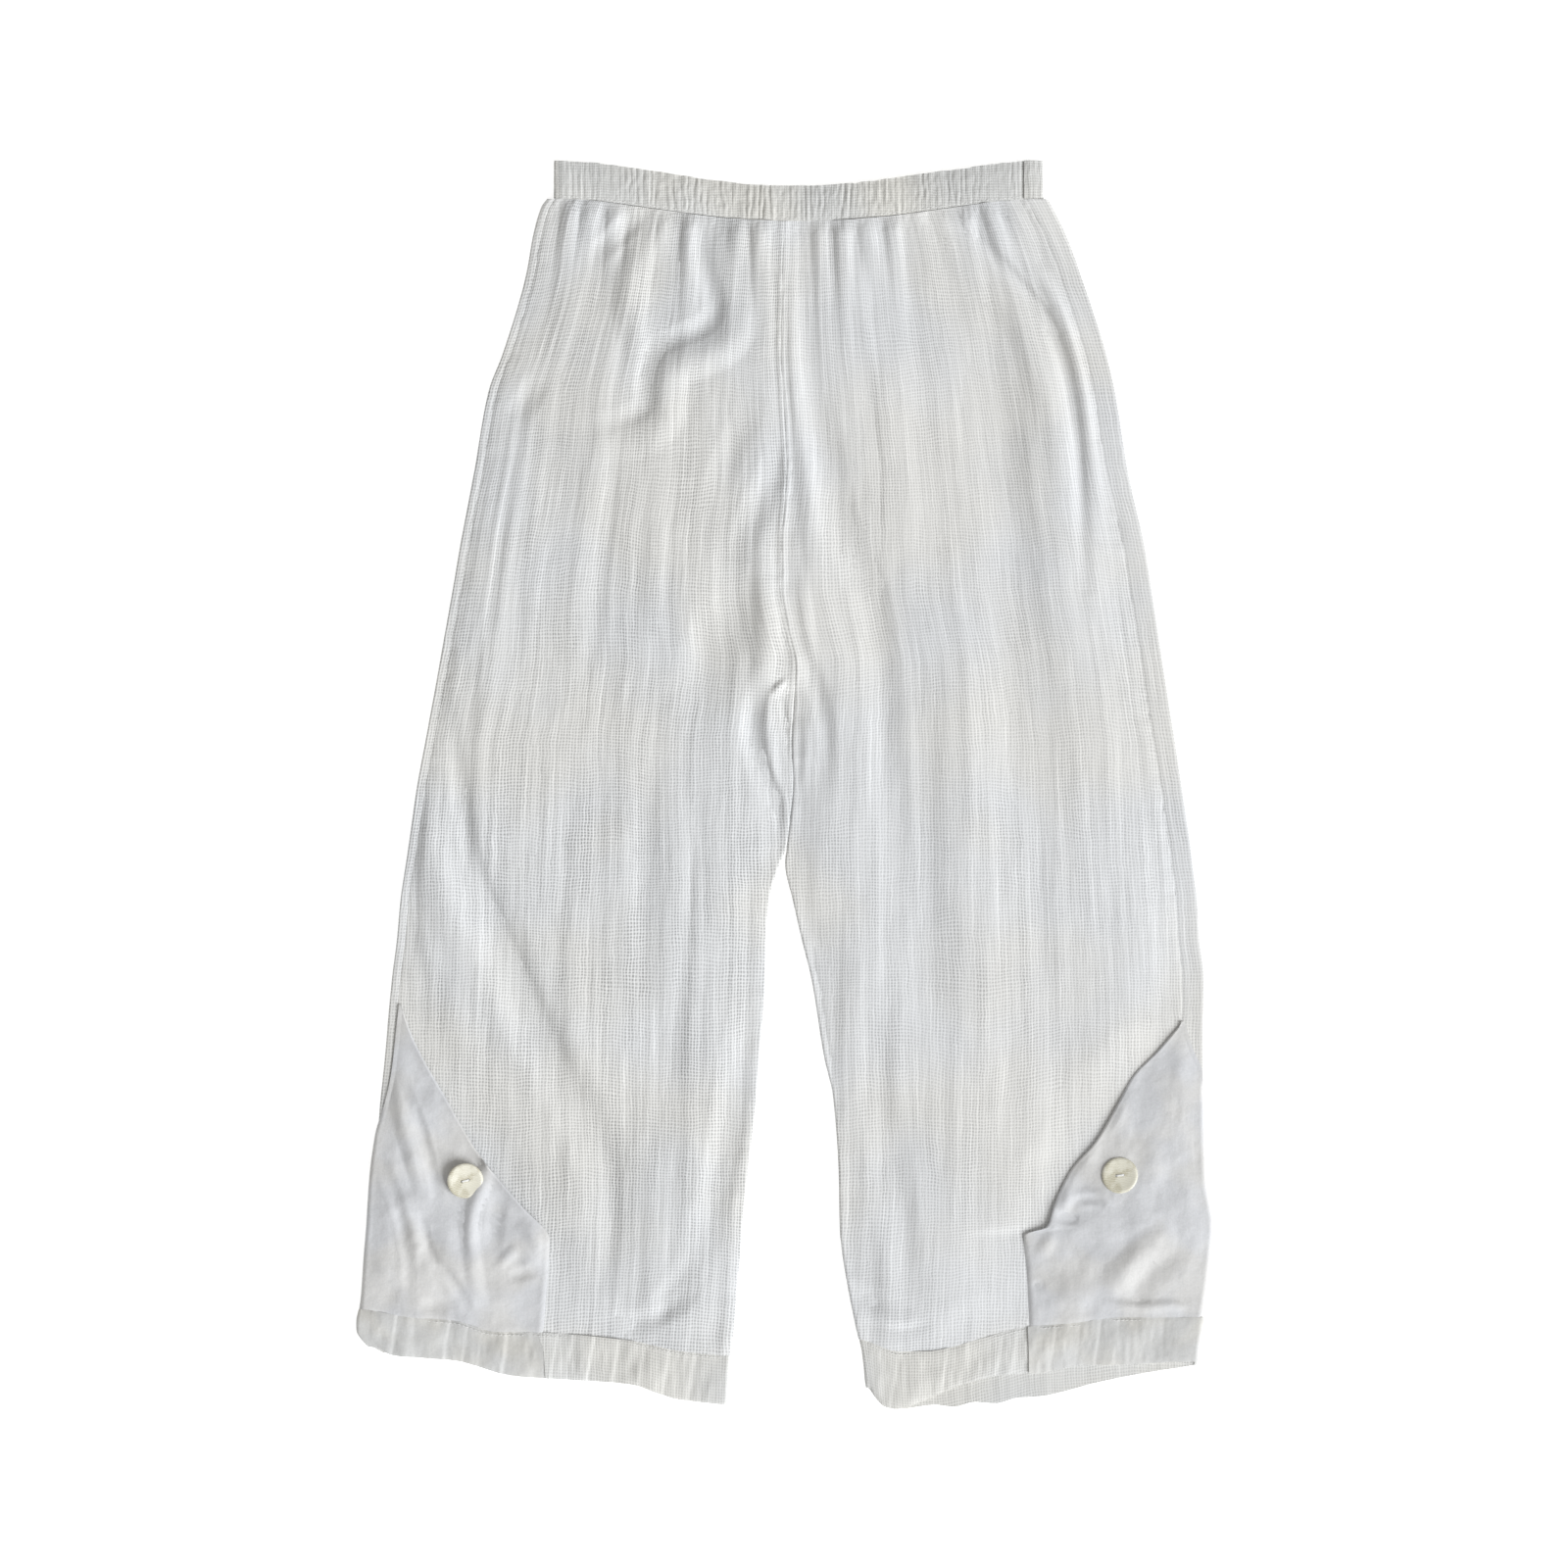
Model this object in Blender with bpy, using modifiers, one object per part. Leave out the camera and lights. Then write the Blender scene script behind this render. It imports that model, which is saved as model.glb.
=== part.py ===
"""White pull-on gaucho trousers in open gauze weave, laid flat on their back.

The tables and functions below are in millimetres, and the meshes in metres. +X is the wearer's
left, +Y runs from the hems up to the waist, and +Z is up from the surface that they lie on.
"""

import math
from collections import namedtuple

import bmesh
import bpy
import numpy as np

MM = 0.001

# Thickness of each wall, and the spaces between them
GAUZE = 1.2
PLAIN = 1.0
CASING = 2.4
HEM = 1.8
SEAM = 0.3
AIR = 1.0
OVERLAY = 0.5
LEG_GAP = 0.2

# Levels of the garment, as Y
WAIST_SIDE = 417.5
WAIST_TOP = 445.6
CROTCH = 77.0
HEM_LINE = -385.0
FLAP_TOP = -160.0

# Waistband, with the sag of its two edges at the middle
BAND_RIGHT = -165.2
BAND_LEFT = 184.8
BAND_SAG = 16.0
BAND_TOP_SAG = 18.2
BAND_LIP_RIGHT = 3.0
BAND_LIP_LEFT = 14.0
BAND_GATHERS = 72
BAND_ROWS = 4
BAND_BACK_COLUMNS = 19
GATHER_HEIGHT = 0.8
GATHER_UNEVEN = 0.2
GATHER_BEATS = (1.7, 0.31)
BAND_CROWN = 0.7

# How far the layers stand off each other between their edges
PUFF = 2.2
LEAST_LIFT = -0.5
EDGE_FADE = 14.0
FOLD_ENDS = 0.35
WAIST_RAMP = 75.0
HEM_RAMP = 115.0
PLEAT_HEIGHT = 0.9
PLEAT_RUN = 11.0
PLEATS_FROM = 3.0
PLEATS_FULL = 11.0
GATHER_WIDTH = 7.0
CROTCH_TURN = 18.0
CROTCH_RISE = 0.8

# The smooth cloth: how its free edge stands up, and how the gauze lies flat and draws in under it
FLARE = 2.6
FLARE_RUN = 11.0
CREASES_FROM = 6.0
CREASES_FULL = 18.0
FLAT_FROM = 12.0
FLAT_TO = 3.0
DRAW_IN_FROM = -180.0
DRAW_IN_TO = -220.0

# Mesh fineness
ROWS = 30
ROW_CROWDING = 1.3
SIDE_COLUMNS = 9
INNER_COLUMNS = 11
SPLIT = 0.47
BACK_COLUMNS = 5
TURN = ((0.5, 0.05), (1.0, 0.5))
FOLD_STEPS = 5
FLAP_COLUMNS = 8

BUTTON_RADIUS = 13.0
BUTTON_THICK = 2.4
BUTTON_HOLE_RADIUS = 1.0
BUTTON_HOLE_OFFSET = 2.4
BUTTON_FOOT = 0.85
BUTTON_SIDES = 24
HOLE_SIDES = 10

# The outline of the flat garment: for each level, the two outer edges and the two inner edges.
# Above the crotch both inner edges are the centre seam, and below it the inseams.
Level = namedtuple("Level", "y right_side right_inner left_inner left_side")
OUTLINE = (
    Level(420, -168.0, -0.7, -0.7, 187.0),
    Level(412, -174.0, -0.7, -0.7, 191.0),
    Level(392, -180.0, -0.7, -0.7, 201.0),
    Level(364, -185.0, -0.7, -0.7, 211.5),
    Level(308, -201.5, -0.7, -0.7, 229.5),
    Level(280, -212.0, -0.7, -0.7, 236.0),
    Level(224, -222.0, -0.7, -0.7, 245.0),
    Level(168, -232.5, -0.7, -0.7, 257.5),
    Level(84, -247.0, -0.7, -0.7, 270.5),
    Level(0, -262.5, -0.7, -0.7, 283.5),
    Level(-44, -269.0, -0.7, -0.7, 290.0),
    Level(-57, -271.0, -3.5, 0.0, 291.5),
    Level(-84, -275.0, -11.2, 5.6, 295.0),
    Level(-112, -277.5, -13.6, 12.0, 296.5),
    Level(-140, -281.0, -14.0, 18.9, 299.5),
    Level(-196, -286.0, -18.2, 28.0, 298.5),
    Level(-224, -289.0, -20.3, 34.3, 299.0),
    Level(-280, -297.0, -26.5, 38.3, 300.5),
    Level(-318, -299.5, -30.5, 39.0, 305.5),
    Level(-336, -301.0, -31.7, 40.8, 304.0),
    Level(-364, -303.0, -34.4, 45.5, 301.0),
    Level(-391, -306.3, -36.4, 51.0, 297.0),
    Level(-406, -296.5, -38.5, 54.6, 295.0),
    Level(-447, -290.0, -42.0, 68.0, 292.0),
)

# The stitched line at the top of each hem and the edges of the hems, as X, Y along the leg
HEM_SEAMS = {
    "right": ((-306, -374), (-271, -380.5), (-235, -383.5), (-206, -391.5), (-175, -392), (-111, -397.5),
              (-72, -405), (-38, -408.5)),
    "left": ((50, -397), (76, -405.5), (94, -405.5), (139, -396), (170, -388), (206, -385), (240, -381),
             (285, -381), (297, -384)),
}
FRONT_EDGES = {
    "right": ((-306, -391), (-299, -402), (-290, -408.5), (-244, -412), (-200, -423), (-155, -426),
              (-111, -429), (-72, -440), (-38, -443.5)),
    "left": ((52, -428), (62, -441), (74, -447), (102, -437), (120, -430), (149, -423), (192, -419.5),
             (210, -415.5), (240, -415), (295, -412)),
}
BACK_EDGES = {
    "right": ((-306, -390), (-299, -401), (-290, -407), (-244, -410), (-200, -421), (-155, -424),
              (-111, -427), (-72, -438), (-38, -441.5)),
    "left": ((52, -428), (62, -441), (72, -447), (97, -444.5), (125, -444), (153, -441), (195, -435),
             (209, -429), (251, -420.5), (279, -416), (295, -412)),
}

# Folds of the gauze, ridges above 0 and troughs below: path, half width and height
Fold = namedtuple("Fold", "leg path half_width height")
FOLDS = (
    Fold("right", ((-46, 402), (-55, 343), (-71, 325), (-94, 302), (-102, 269), (-141, 245)), 15, -2.6),
    Fold("right", ((-92, 399), (-104, 380), (-113, 348), (-104, 307)), 15, 2.6),
    Fold("right", ((-106, 404), (-134, 378)), 10, -1.6),
    Fold("right", ((-176, 291), (-192, 259)), 12, -1.4),
    Fold("right", ((-3, 235), (-32, 168)), 14, -1.6),
    Fold("right", ((-34, 157), (-38, 126), (-55, 86), (-59, 44)), 26, -2.2),
    Fold("right", ((-16, 75), (-24, 44), (-20, 14), (-8, -15)), 12, -2.4),
    Fold("right", ((-250, 44), (-230, -62), (-199, -120), (-179, -182), (-138, -243), (-122, -300),
                   (-138, -376)), 22, -2.4),
    Fold("right", ((-275, 20), (-255, -62), (-224, -120), (-204, -170), (-165, -232)), 20, 1.4),
    Fold("right", ((-100, 3), (-100, -151)), 14, -1.2),
    Fold("right", ((-27, -171), (-39, -243), (-52, -305), (-66, -345)), 16, -2.0),
    Fold("right", ((-80, -366), (-97, -387)), 9, -1.4),
    Fold("left", ((104, 402), (141, 385), (175, 341), (200, 294), (209, 243), (222, 174), (228, 125)),
         15, -2.7),
    Fold("left", ((90, 380), (130, 362), (160, 325), (182, 280), (192, 225), (205, 160)), 18, 2.4),
    Fold("left", ((14, 392), (14, 322), (31, 213), (49, 159), (65, 125), (72, 37), (80, -86)), 17, -2.0),
    Fold("left", ((8, 93), (23, 58), (29, 33), (23, 6)), 13, -2.4),
    Fold("left", ((110, 150), (132, 20), (140, -120), (128, -260)), 34, 1.3),
    Fold("left", ((150, 330), (160, 180), (172, 40)), 26, -1.0),
    Fold("left", ((60, -150), (72, -260), (88, -370)), 18, -1.6),
)

# Soft gathers just below the waistband: where each starts, how far it leans, its reach and height
Gather = namedtuple("Gather", "x lean reach height")
GATHERS = (
    Gather(-152, -6, 44, 1.5), Gather(-137, -5, 30, 1.1), Gather(-120, -4, 55, 1.6), Gather(-84, -3, 38, 1.4),
    Gather(-68, -1, 62, 1.7), Gather(-33, 0, 34, 1.2), Gather(-18, 1, 50, 1.5),
    Gather(24, 2, 42, 1.3), Gather(40, 3, 60, 1.6), Gather(58, 4, 36, 1.2), Gather(76, 5, 48, 1.5),
    Gather(112, 8, 34, 1.2), Gather(128, 9, 56, 1.5), Gather(145, 11, 40, 1.4), Gather(160, 12, 30, 1.1),
)

# Where the gauze hems are laid over in small stepped pleats, as X
PLEATS = (-164, -152, -138, -120, -101, -84, -66, 80, 100, 115, 129, 142, 154, 165)
SIDE_PLEATS = (-279, -267, -241, -228, -217, -200, 184, 192, 210, 224, 237, 262, 286)

# The smooth cloth at each outer hem, a row for each level: how far its outer end lies inside the
# outline, the free or sewn inner end, whether the outer end turns down round the folded edge of the
# leg, and how far the inner end stands up.
Strip = namedtuple("Strip", "inset outer_y inner_x inner_y curl flare")
FLAPS = {
    "right": (
        Strip(7, -158, -272.0, -162, 0, 1.0), Strip(5, -180, -265.0, -183, 0, 1.0),
        Strip(0, -204, -254.0, -204, 0, 1.0), Strip(0, -222, -243.5, -222, 1, 1.0),
        Strip(0, -252, -221.5, -260, 1, 1.6), Strip(0, -278, -203.0, -284, 1, 1.4),
        Strip(0, -300, -186.5, -303, 1, 1.0), Strip(0, -322, -168.0, -326, 1, 0.6),
        Strip(0, -346, -169.5, -352, 1, 0.1), Strip(0, -374, -172.5, -391, 1, 0.0),
    ),
    "left": (
        Strip(9, -168, 279.0, -172, 0, 1.0), Strip(5, -190, 266.0, -191, 0, 1.0),
        Strip(0, -209, 248.5, -209, 0, 1.0), Strip(0, -228, 238.0, -228, 1, 1.0),
        Strip(0, -252, 221.5, -256, 1, 1.2), Strip(0, -276, 204.0, -276, 1, 1.2),
        Strip(0, -296, 192.5, -300, 1, 1.2), Strip(0, -314, 187.0, -316, 1, 1.0),
        Strip(0, -326, 170.5, -323, 1, 0.5), Strip(0, -350, 173.0, -350, 1, 0.1),
        Strip(0, -383, 174.5, -387, 1, 0.0),
    ),
}
FLAP_FOLDS = (
    Fold("right", ((-276, -212), (-263, -243), (-259, -274), (-248, -294)), 13, 1.6),
    Fold("right", ((-285, -268), (-272, -305), (-265, -336), (-267, -366)), 12, 1.5),
    Fold("right", ((-250, -318), (-240, -350), (-224, -380)), 12, 1.8),
    Fold("left", ((205, -294), (232, -299)), 10, 1.4),
    Fold("left", ((280, -318), (255, -334), (226, -368)), 15, 1.8),
)

# The profile of a button from its middle, over its dished top and rim, to its foot, as shares of
# its radius and thickness
BUTTON_PROFILE = (
    (0, 0.62), (0.4, 0.64), (0.72, 0.86), (0.88, 1), (0.97, 0.8),
    (1, 0.5), (0.95, 0.18), (BUTTON_FOOT, 0), (0, 0),
)

# Each button leans about a line that lies at an angle to X
Button = namedtuple("Button", "x y lean line")
BUTTONS = {"right": Button(-228.2, -283.0, 14.0, 32.0), "left": Button(239.0, -279.7, -2.0, 40.0)}

INWARD = {"right": 1.0, "left": -1.0}
SIDE_LIP = {"right": 6.0, "left": 15.5}


def curve(at, points):
    """Reads a smooth curve through the points, which never swings past them."""
    xs, ys = np.array(sorted(points), float).T
    steep = np.diff(ys) / np.diff(xs)
    both = steep[:-1] * steep[1:]
    middle = np.divide(2 * both, steep[:-1] + steep[1:], out=np.zeros_like(both), where=both > 0)
    slope = np.concatenate([steep[:1], middle, steep[-1:]])
    at = np.clip(at, xs[0], xs[-1])
    i = np.clip(np.searchsorted(xs, at) - 1, 0, len(xs) - 2)
    wide = xs[i + 1] - xs[i]
    t = (at - xs[i]) / wide
    return (
        ys[i] * (1 + 2 * t) * (1 - t) ** 2
        + ys[i + 1] * t * t * (3 - 2 * t)
        + wide * (slope[i] * t * (1 - t) ** 2 - slope[i + 1] * t * t * (1 - t))
    )


def mix(a, b, t):
    return a + (b - a) * t


def smooth(value, low, high):
    """0 below low and 1 above high, with a soft turn at both."""
    t = np.clip((value - low) / (high - low), 0, 1)
    return t * t * (3 - 2 * t)


def outline(leg, place, y):
    return curve(y, [(row.y, getattr(row, f"{leg}_{place}")) for row in OUTLINE])


def side_edge(leg, y):
    """The folded outer edge of the gauze, which is drawn in where the smooth cloth turns round it."""
    return outline(leg, "side", y) + INWARD[leg] * (PLAIN + OVERLAY) * smooth(-y, -DRAW_IN_FROM, -DRAW_IN_TO)


def inner_edge(leg, y):
    return outline(leg, "inner", y) - INWARD[leg] * LEG_GAP


def side_seam(leg, y):
    return side_edge(leg, y) + INWARD[leg] * SIDE_LIP[leg]


def height(y):
    """Height of the garment at its folded edges: the two walls and the air between them."""
    waist = 2 * (CASING - GAUZE) * np.clip((y - WAIST_SIDE + WAIST_RAMP) / WAIST_RAMP, 0, 1)
    hem = 2 * (HEM - GAUZE) * np.clip((HEM_LINE + HEM_RAMP - y) / HEM_RAMP, 0, 1)
    return 2 * GAUZE + AIR + waist + hem


def waist_line(x, end, sag):
    """An edge of the waistband, lowest at its middle."""
    middle, half = (BAND_LEFT + BAND_RIGHT) / 2, (BAND_LEFT - BAND_RIGHT) / 2
    return end - sag * np.maximum(0, 1 - ((x - middle) / half) ** 2) ** 2


def away(path, x, y):
    """Distance from a path, and how far along it, from 0 to 1."""
    path = np.array(path, float)
    steps = np.hypot(*np.diff(path, axis=0).T)
    starts = np.concatenate([[0], np.cumsum(steps)])
    best, where = np.full(np.shape(x), np.inf), np.zeros(np.shape(x))
    for (x0, y0), (x1, y1), step, start in zip(path, path[1:], steps, starts):
        t = np.clip(((x - x0) * (x1 - x0) + (y - y0) * (y1 - y0)) / step**2, 0, 1)
        gap = np.hypot(x - mix(x0, x1, t), y - mix(y0, y1, t))
        where = np.where(gap < best, (start + t * step) / starts[-1], where)
        best = np.minimum(best, gap)
    return best, where


def fold_relief(folds, leg, x, y):
    total = np.zeros(np.shape(x))
    for fold in folds:
        if fold.leg == leg:
            gap, where = away(fold.path, x, y)
            bell = np.maximum(0, 1 - (gap / fold.half_width) ** 2) ** 2
            total += fold.height * bell * mix(FOLD_ENDS, 1, np.sin(math.pi * where))
    return total


def gather_relief(x, y):
    total = np.zeros(np.shape(x))
    for row in GATHERS:
        start = waist_line(row.x, WAIST_SIDE, BAND_SAG)
        down = np.maximum(0, start - y)
        across = (x - row.x - row.lean * down / row.reach) / GATHER_WIDTH
        total += row.height * np.maximum(0, 1 - across**2) * np.exp(-((down / row.reach) ** 2))
    return total


def under_flap(leg, x, y):
    """1 where the smooth cloth lies on the gauze, which is flat there."""
    diagonal = curve(y, [(row.inner_y, row.inner_x) for row in FLAPS[leg]])
    inside = (diagonal - x) * INWARD[leg]
    return smooth(inside, -FLAT_FROM, -FLAT_TO) * smooth(-y, -FLAP_TOP - FLAT_FROM, -FLAP_TOP - FLAT_TO)


def front_top(leg, x, y):
    """Height of the front's outer face."""
    inner = np.abs(x - inner_edge(leg, y))
    fade = smooth(np.abs(x - side_seam(leg, y)), 0, EDGE_FADE) * smooth(inner, 0, EDGE_FADE)
    puff = PUFF * (1 - smooth(y, WAIST_SIDE - WAIST_RAMP, WAIST_SIDE))
    lift = np.maximum(puff + fold_relief(FOLDS, leg, x, y), LEAST_LIFT) + gather_relief(x, y)
    knot = np.exp(-((inner / EDGE_FADE) ** 2)) * crotch_rise(y)
    return height(y) + knot + fade * (1 - under_flap(leg, x, y)) * lift


def turned_end(radius, curl, short=SEAM):
    """Steps outwards and downwards from the flat cloth to a square end, short of half height."""
    out = np.concatenate([radius * [step[0] for step in TURN], radius], axis=1)
    drop = np.concatenate([radius * [step[1] for step in TURN], radius - short], axis=1)
    share = np.arange(1, out.shape[1] + 1) / out.shape[1]
    return mix(radius * share, out, curl), curl * drop


def columns():
    """Where the columns of a front lie, from the side seam, 0, to the inner edge, 1."""
    inner = np.linspace(SPLIT, 1, INNER_COLUMNS + 1)[1:]
    return np.concatenate([np.linspace(0, SPLIT, SIDE_COLUMNS + 1), inner])


def seam_lines(leg, t):
    """The waist seam and the hem seam of a leg, at the columns t."""
    sides = [(side_seam(leg, level), inner_edge(leg, level)) for level in (WAIST_SIDE, HEM_LINE)]
    top = waist_line(mix(*sides[0], t), WAIST_SIDE, BAND_SAG)
    return top, curve(mix(*sides[1], t), HEM_SEAMS[leg])


def row_levels(leg, t):
    """Y of every row at the columns t, closer together near the waist."""
    top, low = seam_lines(leg, t)
    return mix(top, low, (np.arange(ROWS + 1)[:, None] / ROWS) ** ROW_CROWDING)


def stack(*parts):
    """Joins blocks of columns, each given as x, y and z, into rows of points."""
    blocks = []
    for part in parts:
        axes = np.broadcast_arrays(*(np.asarray(axis, float) for axis in part))
        blocks.append(np.stack(axes, axis=-1))
    return np.concatenate(blocks, axis=1)


def inner_curl(y):
    """0 at the centre seam, where the inner edges are flat, and 1 down the inseams, where they turn."""
    return 1 - smooth(y, CROTCH - CROTCH_TURN, CROTCH + CROTCH_TURN)


def crotch_rise(y):
    """The front stands up where the four seams meet and its edge begins to turn."""
    return 4 * CROTCH_RISE * inner_curl(y) * (1 - inner_curl(y))


def inner_turn(leg, y, floor):
    """The cloth's inner edge, turned to half height."""
    radius = height(y) / 2
    out, drop = turned_end(radius, inner_curl(y))
    x = inner_edge(leg, y) - INWARD[leg] * (radius - out)
    return x, y, drop if floor else height(y) + crotch_rise(y) - drop


def front_rows(leg):
    t = columns()
    y = row_levels(leg, t)
    start = side_seam(leg, y) + INWARD[leg] * SEAM
    x = mix(start, inner_edge(leg, y) - INWARD[leg] * height(y) / 2, t)
    return stack((x, y, front_top(leg, x, y)), inner_turn(leg, y[:, -1:], floor=False))


def fold_round(edge, inward, y, radius, steps):
    """A half circle from the top, round the folded edge, to the floor."""
    angle = np.linspace(math.pi / 2, -math.pi / 2, steps + 1)
    return edge + inward * radius * (1 - np.cos(angle)), y, radius * (1 + np.sin(angle))


def back_rows(leg):
    t = np.linspace(0, 1, BACK_COLUMNS + 1)
    y = row_levels(leg, t)
    side, radius = y[:, :1], height(y) / 2
    x = mix(side_edge(leg, y) + INWARD[leg] * radius, inner_edge(leg, y) - INWARD[leg] * radius, t)
    lip = (side_seam(leg, side), side, height(side))
    fold = fold_round(side_edge(leg, side), INWARD[leg], side, height(side) / 2, FOLD_STEPS)
    return stack(lip, fold, (x[:, 1:], y[:, 1:], 0), inner_turn(leg, y[:, -1:], floor=True))


def hem_levels(leg, t, seam_t, edges):
    """Y of a hem's three rows, whose first lies along the panel's last row."""
    _, low = seam_lines(leg, seam_t)
    _, fine = seam_lines(leg, t)
    edge = curve(mix(side_seam(leg, HEM_LINE), inner_edge(leg, HEM_LINE), t), edges[leg])
    return np.stack([np.interp(t, seam_t, low) - SEAM, (fine + edge) / 2, edge])


def pleat_relief(steps, x):
    """Each pleat climbs slowly towards its step and drops at once."""
    total = np.zeros(np.shape(x))
    for step in steps:
        ahead = x - step
        total = np.maximum(total, np.where(ahead < 0, 0, np.maximum(0, 1 - ahead / PLEAT_RUN)))
    return PLEAT_HEIGHT * total


def finer(t):
    return np.sort(np.concatenate([t, (t[1:] + t[:-1]) / 2]))


def front_hem_rows(leg):
    coarse = columns()
    t = finer(coarse[SIDE_COLUMNS:])
    y = hem_levels(leg, t, coarse, FRONT_EDGES)
    gap = INWARD[leg] * SEAM * (t == t[0])
    x = mix(side_seam(leg, y), inner_edge(leg, y) - INWARD[leg] * height(y) / 2, t) + gap
    inside = smooth(np.abs(x - inner_edge(leg, y)), PLEATS_FROM, PLEATS_FULL)
    flat = (x, y, height(y) + inside * pleat_relief(PLEATS, x))
    return stack(flat, inner_turn(leg, y[:, -1:], floor=False))


def side_hem_rows(leg):
    coarse = columns()
    t = finer(coarse[: SIDE_COLUMNS + 1])
    y = hem_levels(leg, t, coarse, FRONT_EDGES)
    x = mix(side_seam(leg, y), inner_edge(leg, y) - INWARD[leg] * height(y) / 2, t)
    side = y[:, :1]
    radius = height(side) / 2
    out, drop = turned_end(radius, np.ones_like(side))
    edge = outline(leg, "side", side)
    turn = (edge + INWARD[leg] * (radius - out[:, ::-1]), side, height(side) - drop[:, ::-1])
    flat = (edge + INWARD[leg] * radius, side, height(side))
    inside = smooth(np.abs(x - edge), PLEATS_FROM, PLEATS_FULL)
    return stack(turn, flat, (x, y, height(y) + inside * pleat_relief(SIDE_PLEATS, x)))


def back_hem_rows(leg):
    coarse = np.linspace(0, 1, BACK_COLUMNS + 1)
    t = finer(finer(coarse))
    y = hem_levels(leg, t, coarse, BACK_EDGES)
    side, radius = y[:, :1], height(y) / 2
    edge = outline(leg, "side", y)
    x = mix(edge + INWARD[leg] * radius, inner_edge(leg, y) - INWARD[leg] * radius, t)
    out, drop = turned_end(radius[:, :1], np.ones_like(side))
    turn = (edge[:, :1] + INWARD[leg] * (radius[:, :1] - out[:, ::-1]), side, drop[:, ::-1])
    return stack(turn, (x, y, 0), inner_turn(leg, y[:, -1:], floor=True))


def flap_top(leg, x, y, inner_x, flare):
    """Height of the smooth cloth: the gauze's flat top, moved out, with creases and a raised free edge."""
    free = flare * FLARE * np.exp(-np.abs(inner_x - x) / FLARE_RUN)
    inside = smooth(np.abs(x - outline(leg, "side", y)), CREASES_FROM, CREASES_FULL)
    return height(y) + OVERLAY + PLAIN + free + inside * fold_relief(FLAP_FOLDS, leg, x, y)


def flap_rows(leg):
    get = {name: np.array(column, float)[:, None] for name, column in zip(Strip._fields, zip(*FLAPS[leg]))}
    side = get["outer_y"]
    radius = height(side) / 2 + OVERLAY + PLAIN
    edge = outline(leg, "side", side) + INWARD[leg] * get["inset"]
    t = np.linspace(0, 1, FLAP_COLUMNS + 1)
    x = mix(edge + INWARD[leg] * radius, get["inner_x"], t)
    y = mix(side, get["inner_y"], t)
    seam = INWARD[leg] * side_seam(leg, HEM_LINE)
    y[-1] = curve(INWARD[leg] * np.maximum(INWARD[leg] * x[-1], seam), HEM_SEAMS[leg]) + 2 * SEAM
    side = y[:, :1]
    out, drop = turned_end(radius, get["curl"], short=0)
    top = height(side) + OVERLAY + PLAIN
    turn = (edge + INWARD[leg] * (radius - out[:, ::-1]), side, top - drop[:, ::-1])
    return stack(turn, (x, y, flap_top(leg, x, y, get["inner_x"], get["flare"])))


def band_levels(x):
    seam = waist_line(x, WAIST_SIDE, BAND_SAG) + SEAM
    return mix(seam, waist_line(x, WAIST_TOP, BAND_TOP_SAG), np.linspace(0, 1, BAND_ROWS)[:, None])


def band_back_rows():
    thick = 2 * CASING + AIR
    radius = thick / 2
    ends = [np.full((BAND_ROWS, 1), x) for x in (BAND_RIGHT, BAND_LEFT)]
    x = np.linspace(BAND_RIGHT + radius, BAND_LEFT - radius, BAND_BACK_COLUMNS)
    levels = [band_levels(end) for end in (BAND_RIGHT, BAND_LEFT)]
    right = fold_round(ends[0], 1, levels[0], radius, FOLD_STEPS + 1)
    left = np.broadcast_arrays(*fold_round(ends[1], -1, levels[1], radius, FOLD_STEPS + 1))
    left = [axis[:, ::-1] for axis in left]
    return stack(
        (ends[0] + max(BAND_LIP_RIGHT, radius + SEAM), levels[0], thick),
        right,
        (x[1:-1], band_levels(x[1:-1]), 0),
        left,
        (ends[1] - BAND_LIP_LEFT, levels[1], thick),
    )


def band_front_rows():
    first = BAND_RIGHT + max(BAND_LIP_RIGHT, CASING + AIR / 2 + SEAM) + SEAM
    last = BAND_LEFT - BAND_LIP_LEFT - SEAM
    x = np.linspace(first, last, 2 * BAND_GATHERS + 1)
    return stack((x, band_levels(x), 2 * CASING + AIR))


def gather_band(obj):
    """Raises the outer points of the waistband in gathers over a plain inside."""
    across = 2 * BAND_GATHERS + 1
    slow, quick = min(GATHER_BEATS), max(GATHER_BEATS)
    for i in range(BAND_ROWS * across):
        row, column = divmod(i, across)
        crown = 0 if row in (0, BAND_ROWS - 1) else BAND_CROWN
        uneven = 1 - GATHER_UNEVEN * (1 - math.sin(quick * column) * math.cos(slow * column))
        obj.data.vertices[i].co.z += (crown + GATHER_HEIGHT * uneven * (column % 2)) * MM


def material(name, colour, roughness):
    made = bpy.data.materials.new(name)
    made.use_nodes = True
    shader = made.node_tree.nodes["Principled BSDF"]
    shader.inputs["Base Color"].default_value = (*colour, 1)
    shader.inputs["Roughness"].default_value = roughness
    shader.inputs["Metallic"].default_value = 0
    return made


def add_object(name, mesh, finish, collection):
    obj = bpy.data.objects.new(name, mesh)
    mesh.materials.append(finish)
    collection.objects.link(obj)
    return obj


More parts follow.
